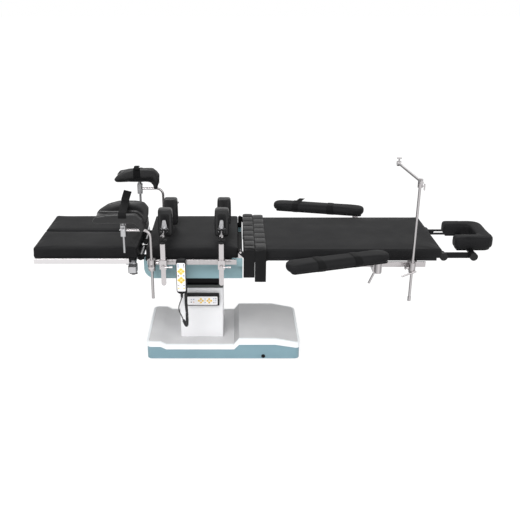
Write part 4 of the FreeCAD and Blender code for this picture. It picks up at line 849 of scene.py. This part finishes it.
def girth(things, centre, axis, width, lift):
    """The line of a strap pulled tight round pieces: the outer loop of what rays meet in the strap's plane.

    The rays come from all round, 0.2 m off, along the strap's two edges and its middle."""
    rays, reach, steps = 96, 0.2, 90
    graph = bpy.context.evaluated_depsgraph_get()
    trees = [BVHTree.FromObject(thing, graph) for thing in things]
    axis = Vector(axis).normalized()
    side = Vector((0, 0, 1)).cross(axis).normalized()
    met = []
    for shift in (-0.5, 0, 0.5):
        middle = Vector(centre) + axis * shift * width
        for angle in np.linspace(0, 2 * np.pi, rays, endpoint=False):
            way = side * math.cos(angle) + Vector((0, 0, 1)) * math.sin(angle)
            for tree in trees:
                spot = tree.ray_cast(middle + way * reach, -way, reach)[0]
                if spot is not None:
                    met.append(((spot - middle).dot(side), spot.z - middle.z))
    loop = hull_loop(np.array(met))
    flat = evenly(np.concatenate([loop, loop[:1]]), steps, endpoint=False)
    for _ in range(2):
        flat = (np.roll(flat, 1, axis=0) + 2 * flat + np.roll(flat, -1, axis=0)) / 4
    away = np.roll(flat, -1, axis=0) - np.roll(flat, 1, axis=0)
    away = np.stack([away[:, 1], -away[:, 0]], 1) / np.linalg.norm(away, axis=1)[:, None]
    flat = flat + away * lift
    line = np.array(centre) + flat[:, :1] * np.array(side) + flat[:, 1:] * np.array((0, 0, 1))
    return line, np.array(axis)


def loose_band(points, count, across, width, thick, out=1):
    """A band along a smooth line through the pull of a few points."""
    return band(read_line([tuple(p) for p in points], count), across, width, thick, out=out)


def arm_strap_end(line, axis, out, reach, height, low):
    """The strap's second layer, down the outer face of its pad to the height low."""
    part = np.flatnonzero((reach > 0.55 * reach.max()) & (height > low))
    part = part[np.argsort(-height[part] + 0.4 * reach[part])]
    slide = np.linspace(0.0, 0.011, len(part))[:, None]
    layer = line[part] + axis * slide + out * 2.2 * MM
    return loose_band(layer[::3], 24, axis, 0.031, 1.9 * MM)


def make_arm_straps(pads):
    """Webbing round the arm pads, two to a board, with a loose end on the far board's first."""
    flap_steps = ((0, 0.022, 0.001), (0.008, 0.006, 0.0045), (0.017, -0.012, 0.010), (0.026, -0.030, 0.0135))
    boards = (("near", NEAR_BOARD, (-0.3015, -0.123), -0.030), ("far", FAR_BOARD, (-0.326, -0.138), -0.022))
    for side, board, spots, low in boards:
        bands = []
        around = [pads["arm_cushion_" + side], NODES["arm_plate_" + side]]
        out = np.array(board.to_3x3() @ Vector((0, -1, 0)))
        for index, spot in enumerate(spots):
            centre = board @ Vector((spot, 0, 0.611))
            line, axis = girth(around, centre, board.to_3x3() @ Vector((1, 0, 0)), 0.032, 0.5 * MM)
            bands.append(band(line, axis, 0.032, 1.8 * MM, closed=True))
            reach = (line - np.array(centre)) @ out
            height = line[:, 2] - centre.z
            if side == "far" and index == 0:
                top = line[np.argmax(height)] + axis * 0.004
                flap = [top + axis * a + out * b + np.array((0, 0, c)) for a, b, c in flap_steps]
                bands.append(loose_band(flap, 16, axis, 0.030, 1.8 * MM))
            else:
                bands.append(arm_strap_end(line, axis, out, reach, height, low))
        show_bands("arm_straps_" + side, bands, STRAP, "arm_board_" + side, "strap_black")


def make_crutch_straps(pads):
    """Webbing over the crutches: the near one's end stands up, the far one's lies in a low loop."""
    near_end = ((0, -0.010, 0.001), (0.001, -0.002, 0.008), (0.006, 0.003, 0.024), (0.013, 0.006, 0.044))
    far_end = ((0, -0.024, -0.001), (0, -0.014, 0.006), (0.001, -0.002, 0.011), (0.002, 0.012, 0.010),
               (0.002, 0.022, 0.004))
    for side, x, y, foot in (("near", -0.329, -0.310, 0.780), ("far", -0.342, 0.310, 0.797)):
        centre = (x, y, foot + 0.035)
        line, axis = girth([pads["crutch_cushion_" + side]], centre, (1, 0, 0), 0.036, 0.5 * MM)
        height = line[:, 2] - centre[2]
        part = np.flatnonzero(height > -0.012)
        gap = int(np.argmax(np.diff(part))) + 1 if len(part) and np.diff(part).max() > 1 else 0
        part = np.concatenate([part[gap:], part[:gap]])
        top = line[np.argmax(height)]
        ends = [top + np.array(step) for step in (near_end if side == "near" else far_end)]
        if side == "near":
            end = loose_band(ends, 18, (0.97, 0.0, -0.24), 0.036, 2.0 * MM)
        else:
            end = loose_band(ends, 18, axis, 0.026, 2.4 * MM, out=-1)
        bands = [band(line[part], axis, 0.036, 2.2 * MM), end]
        show_bands("crutch_strap_" + side, bands, STRAP, "crutch_" + side, "strap_black")


# Keypads: each small key's place and the number of its skin.

PANEL_KEYS = [(0.0181, 0.3075, 3), (0.0181, 0.2985, 4), (0.0181, 0.2895, 3), (0.0620, 0.3095, 3),
              (0.0620, 0.2985, 4), (0.0620, 0.2875, 2), (0.0715, 0.3095, 2), (0.0715, 0.2985, 3),
              (0.0715, 0.2875, 4), (-0.0375, 0.3060, 3), (-0.0375, 0.2910, 5), (-0.0500, 0.3060, 4),
              (-0.0500, 0.2910, 2)]
HAND_ROWS = [(0.5625, (3, 2)), (0.5530, (3, 4)), (0.5083, (2, 3)), (0.4600, (4, 4)), (0.4450, (1, 1))]


def diamond(reach):
    """Four keys round a point: each one's direction in degrees and its place."""
    return [(0, reach, 0), (90, 0, reach), (180, -reach, 0), (270, 0, -reach)]


def disc(x, z, y, radius, depth, steps=24):
    """A round key with its front at y."""
    angle = np.linspace(0, 2 * np.pi, steps, endpoint=False)
    return facing_front(np.stack([np.cos(angle), np.sin(angle)], 1) * radius, x, z, y, depth)


def arrow(x, z, y, way, size):
    """A small raised triangle that points the given way."""
    angle = np.radians(way) + np.array([0, 2.2, -2.2])
    return facing_front(np.stack([np.cos(angle), np.sin(angle)], 1) * size, x, z, y, 0.3 * MM)


def make_panel():
    """The control panel's membrane: two diamonds of yellow keys, small keys and an orange lens."""
    y, middle = -0.1362, 0.2985
    parts = [(facing_front(round_rectangle(0.149, 0.045, 0.005), 0.0055, middle, y, 1.1 * MM), 0)]
    for x in (-0.0026, 0.0388):
        for way, dx, dz in diamond(0.0095):
            parts += [(disc(x + dx, middle + dz, y - 0.5 * MM, 5.6 * MM, 1.2 * MM), 1),
                      (arrow(x + dx, middle + dz, y - 0.8 * MM, way, 2.4 * MM), 2)]
        parts.append((disc(x, middle, y - 0.4 * MM, 2.2 * MM, 1.0 * MM), 3))
    for x, z, paint in PANEL_KEYS:
        parts.append((disc(x, z, y - 0.5 * MM, 2.6 * MM, 1.1 * MM, 16), paint))
    mesh = make_mesh("panel_keys", parts)
    thing = show("panel_keys", mesh, KEY_SKINS + [KEY_ORANGE], "base", 0.25 * MM)
    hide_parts("panel_keypad")


def make_hand_keys():
    """The hand control's membrane: two diamonds of yellow arrow keys and five rows of small keys."""
    x, y = -0.0825, -0.3146
    parts = [(facing_front(round_rectangle(0.0385, 0.142, 0.005), x, 0.5005, y, 1.0 * MM), 0)]
    outline = round_rectangle(0.0128, 0.0128, 0.0018) @ np.array([[0.7071, -0.7071], [0.7071, 0.7071]])
    small = round_rectangle(0.0065, 0.0060, 0.0015)
    for z in (0.5300, 0.4865):
        for way, dx, dz in diamond(0.0098):
            parts += [(facing_front(outline, x + dx, z + dz, y - 0.5 * MM, 1.2 * MM), 1),
                      (arrow(x + dx, z + dz, y - 0.8 * MM, way, 2.6 * MM), 2)]
    for z, paints in HAND_ROWS:
        for dx, paint in zip((-0.0125, 0.0125), paints):
            parts.append((facing_front(small, x + dx, z, y - 0.5 * MM, 1.2 * MM), paint))
    mesh = make_mesh("hand_control_keys", parts)
    show("hand_control_keys", mesh, KEY_SKINS, "seat", 0.25 * MM)


# Rigid pieces.


def zone(x0, x1, y0, y1, z0, z1):
    """A box to find faces in, with its y sides sorted."""
    return (x0, min(y0, y1), z0), (x1, max(y0, y1), z1)


def make_supports():
    """Side supports: flat steel posts, black wing nuts, alloy clevises and a black plate behind each pad."""
    for place, (x, side, axis, pad_y) in SUPPORTS.items():
        top = axis - 0.029
        back = pad_y + 0.019
        pivot = back + 0.024
        knob, head = (side * 0.285, side * 0.320), (side * (pivot - 0.02), side * (pivot + 0.036))
        regions = [
            (KNOB, zone(x - 0.024, x + 0.024, *knob, top - 0.0012, top + 0.030)),
            (STEEL_Z, zone(x - 0.02, x + 0.02, *knob, top + 0.030, axis + 0.02)),
            (STEEL_Y, zone(x - 0.006, x + 0.006, side * (pivot + 0.034), side * 0.290, axis - 0.006,
                           axis + 0.006)),
            (ALLOY, zone(x - 0.03, x + 0.03, *head, axis + 0.006, axis + 0.06)),
            (KNOB, zone(x - 0.03, x + 0.03, *head, axis - 0.03, axis + 0.006)),
        ]
        dress("support_post_" + place, STEEL_Z, 0.7, regions)
        work = cad_copy("support_pad_" + place)
        keep = side * (back + 0.0002)
        gone = [v for v in work.verts if side * (v.co.y - keep) < 0]
        bmesh.ops.delete(work, geom=gone, context="VERTS")
        mark_sharp(work)
        mesh = mesh_of(work, "pad_plate_" + place)
        plate = show("pad_plate_" + place, mesh, [KNOB], "side_pad_" + place, 0.6 * MM)
        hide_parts("support_pad_" + place)


def make_rigid():
    """Every rigid node with its finish."""
    plain = {
        "base_skirt": (SKIRT, 1.2, "skirt_blue"), "base_rim": (RIM, 1.5, "rim_white"),
        "base_cover": (COVER, 1.0, "cover_grey"), "base_frame": (FRAME_PAINT, 0.5, "frame_paint"),
        "column_cover": (COLUMN, 1.0, "column_white"), "column_collar": (COLLAR, 0.8, "collar_grey"),
        "control_panel": (CASE, 1.2, "panel_black"), "power_inlet": (CASE, 0.4, "panel_black"),
        "floor_feet": (RUBBER, 1.0, "foot_rubber"), "hydraulic_unit": (CYLINDER, 0.5, "cylinder_steel"),
        "mid_column": (TUBE, 0.6, "tube_steel"), "top_column": (BLACK_PAINT, 0.8, "column_black"),
        "lift_rod": (CYLINDER, 0.5, "cylinder_steel"), "tilt_cross": (CYLINDER, 0.6, "cylinder_steel"),
        "seat_frame": (FRAME_PAINT, 0.7, "frame_paint"),
        "seat_rails": (STEEL_X, 0.9, "stainless"), "rail_clamps": (STEEL_Z, 0.7, "stainless"),
        "cord_socket": (CASE, 0.5, "panel_black"), "back_frame": (FRAME_PAINT, 0.7, "frame_paint"),
        "back_rails": (STEEL_X, 0.9, "stainless"), "back_clamps": (STEEL_Z, 0.7, "stainless"),
        "screen_post": (STEEL_Z, 0.5, "stainless"), "screen_arm": (STEEL_Y, 0.5, "stainless"),
    }
    for node, (material, bevel, slot) in plain.items():
        dress(node, material, bevel, ())
    ends = [(STEEL_Z, zone(0.16, 0.26, -0.30, -0.236, 0.572, 0.65)),
            (BLACK_PAINT, zone(0.16, 0.26, 0.236, 0.30, 0.44, 0.65))]
    dress("seat_beam", TEAL, 0.8, ends, 0.572)
    for side, sign in (("near", -1), ("far", 1)):
        dress("leg_frame_" + side, FRAME_PAINT, 0.7, ())
        dress("leg_rail_" + side, LIGHTER_STEEL_X, 0.9, ())
        dress("stirrup_rod_" + side, STEEL_Z, 0.5, ())
        dress("crutch_clamp_" + side, ALLOY, 0.7, ())
        rim = [(BLACK_PAINT, zone(0.3, 0.95, sign * 0.2, sign * 0.6, 0.590, 0.5967))]
        dress("arm_plate_" + side, ALLOY, 0.7, rim)
        knob = zone(-0.34, -0.28, sign * 0.246, sign * 0.295, 0.495, 0.5105)
        dress("leg_bracket_" + side, ALLOY, 0.7, [(KNOB, knob)])
    knobs = [(KNOB, zone(1.13, 1.35, sign * 0.1722, sign * 0.2, 0.53, 0.58)) for sign in (-1, 1)]
    dress("head_arms", BLACK_PAINT, 0.7, knobs)
    dress("head_carrier", BLACK_PAINT, 0.7, knobs)
    hook = (STEEL_X, zone(-0.1, -0.06, -0.2875, -0.26, 0.54, 0.6))
    dress("pendant_housing", CASE, 1.4, [hook])


# Floor, light and finish.


def shows(tree):
    """1 for a ray from the camera, from a reflection or through a clear piece, 0 for any other."""
    rays = add(tree, "ShaderNodeLightPath")
    seen = calc(tree, "MAXIMUM", (rays, "Is Camera Ray"), (rays, "Is Glossy Ray"))
    return calc(tree, "MAXIMUM", (seen, "Value"), (rays, "Is Transmission Ray"))


def make_stage():
    """A pale floor and a white world: both look white, in reflections too, and the shadow stays."""
    material, tree, shader, _ = finish_of("pale_floor", "F2F2F2", 0.9)
    share = calc(tree, "MULTIPLY", (shows(tree), "Value"), 0.8)
    glow = add(tree, "ShaderNodeEmission", {"Color": (1, 1, 1, 1), "Strength": 1.15})
    mixed = add(tree, "ShaderNodeMixShader",
                {0: (share, "Value"), 1: (shader, "BSDF"), 2: (glow, "Emission")})
    tree.links.new(mixed.outputs["Shader"], tree.nodes["Material Output"].inputs["Surface"])
    mesh = bpy.data.meshes.new("floor")
    mesh.from_pydata([(-30, -30, 0), (30, -30, 0), (30, 30, 0), (-30, 30, 0)], [], [(0, 1, 2, 3)])
    mesh.materials.append(material)
    floor = put("floor", mesh)

    world = bpy.data.worlds.new("studio")
    bpy.context.scene.world = world
    world.use_nodes = True
    tree = world.node_tree
    strength = spread(tree, (shows(tree), "Value"), 0.0, 1.0, 0.62, 1.0)
    ground = tree.nodes["Background"]
    ground.inputs["Color"].default_value = (1, 1, 1, 1)
    tree.links.new(strength.outputs["Result"], ground.inputs["Strength"])

    lamp("key", 120, (-1.2, -2.6, 3.4), (0.2, 0, 0.4), 2.6, 1.8)
    lamp("fill", 34, (2.6, -2.4, 2.2), (0.3, 0, 0.5), 2.0, 2.0)
    lamp("back", 14, (0.3, 2.8, 3.0), (0.2, 0, 0.5), 3.0, 1.2)


bpy.context.scene.view_settings.view_transform = "Standard"
make_camera()
make_cord()
PADS = make_pads()
make_body_straps()
make_arm_straps(PADS)
make_crutch_straps(PADS)
make_panel()
make_hand_keys()
make_supports()
make_rigid()
make_stage()
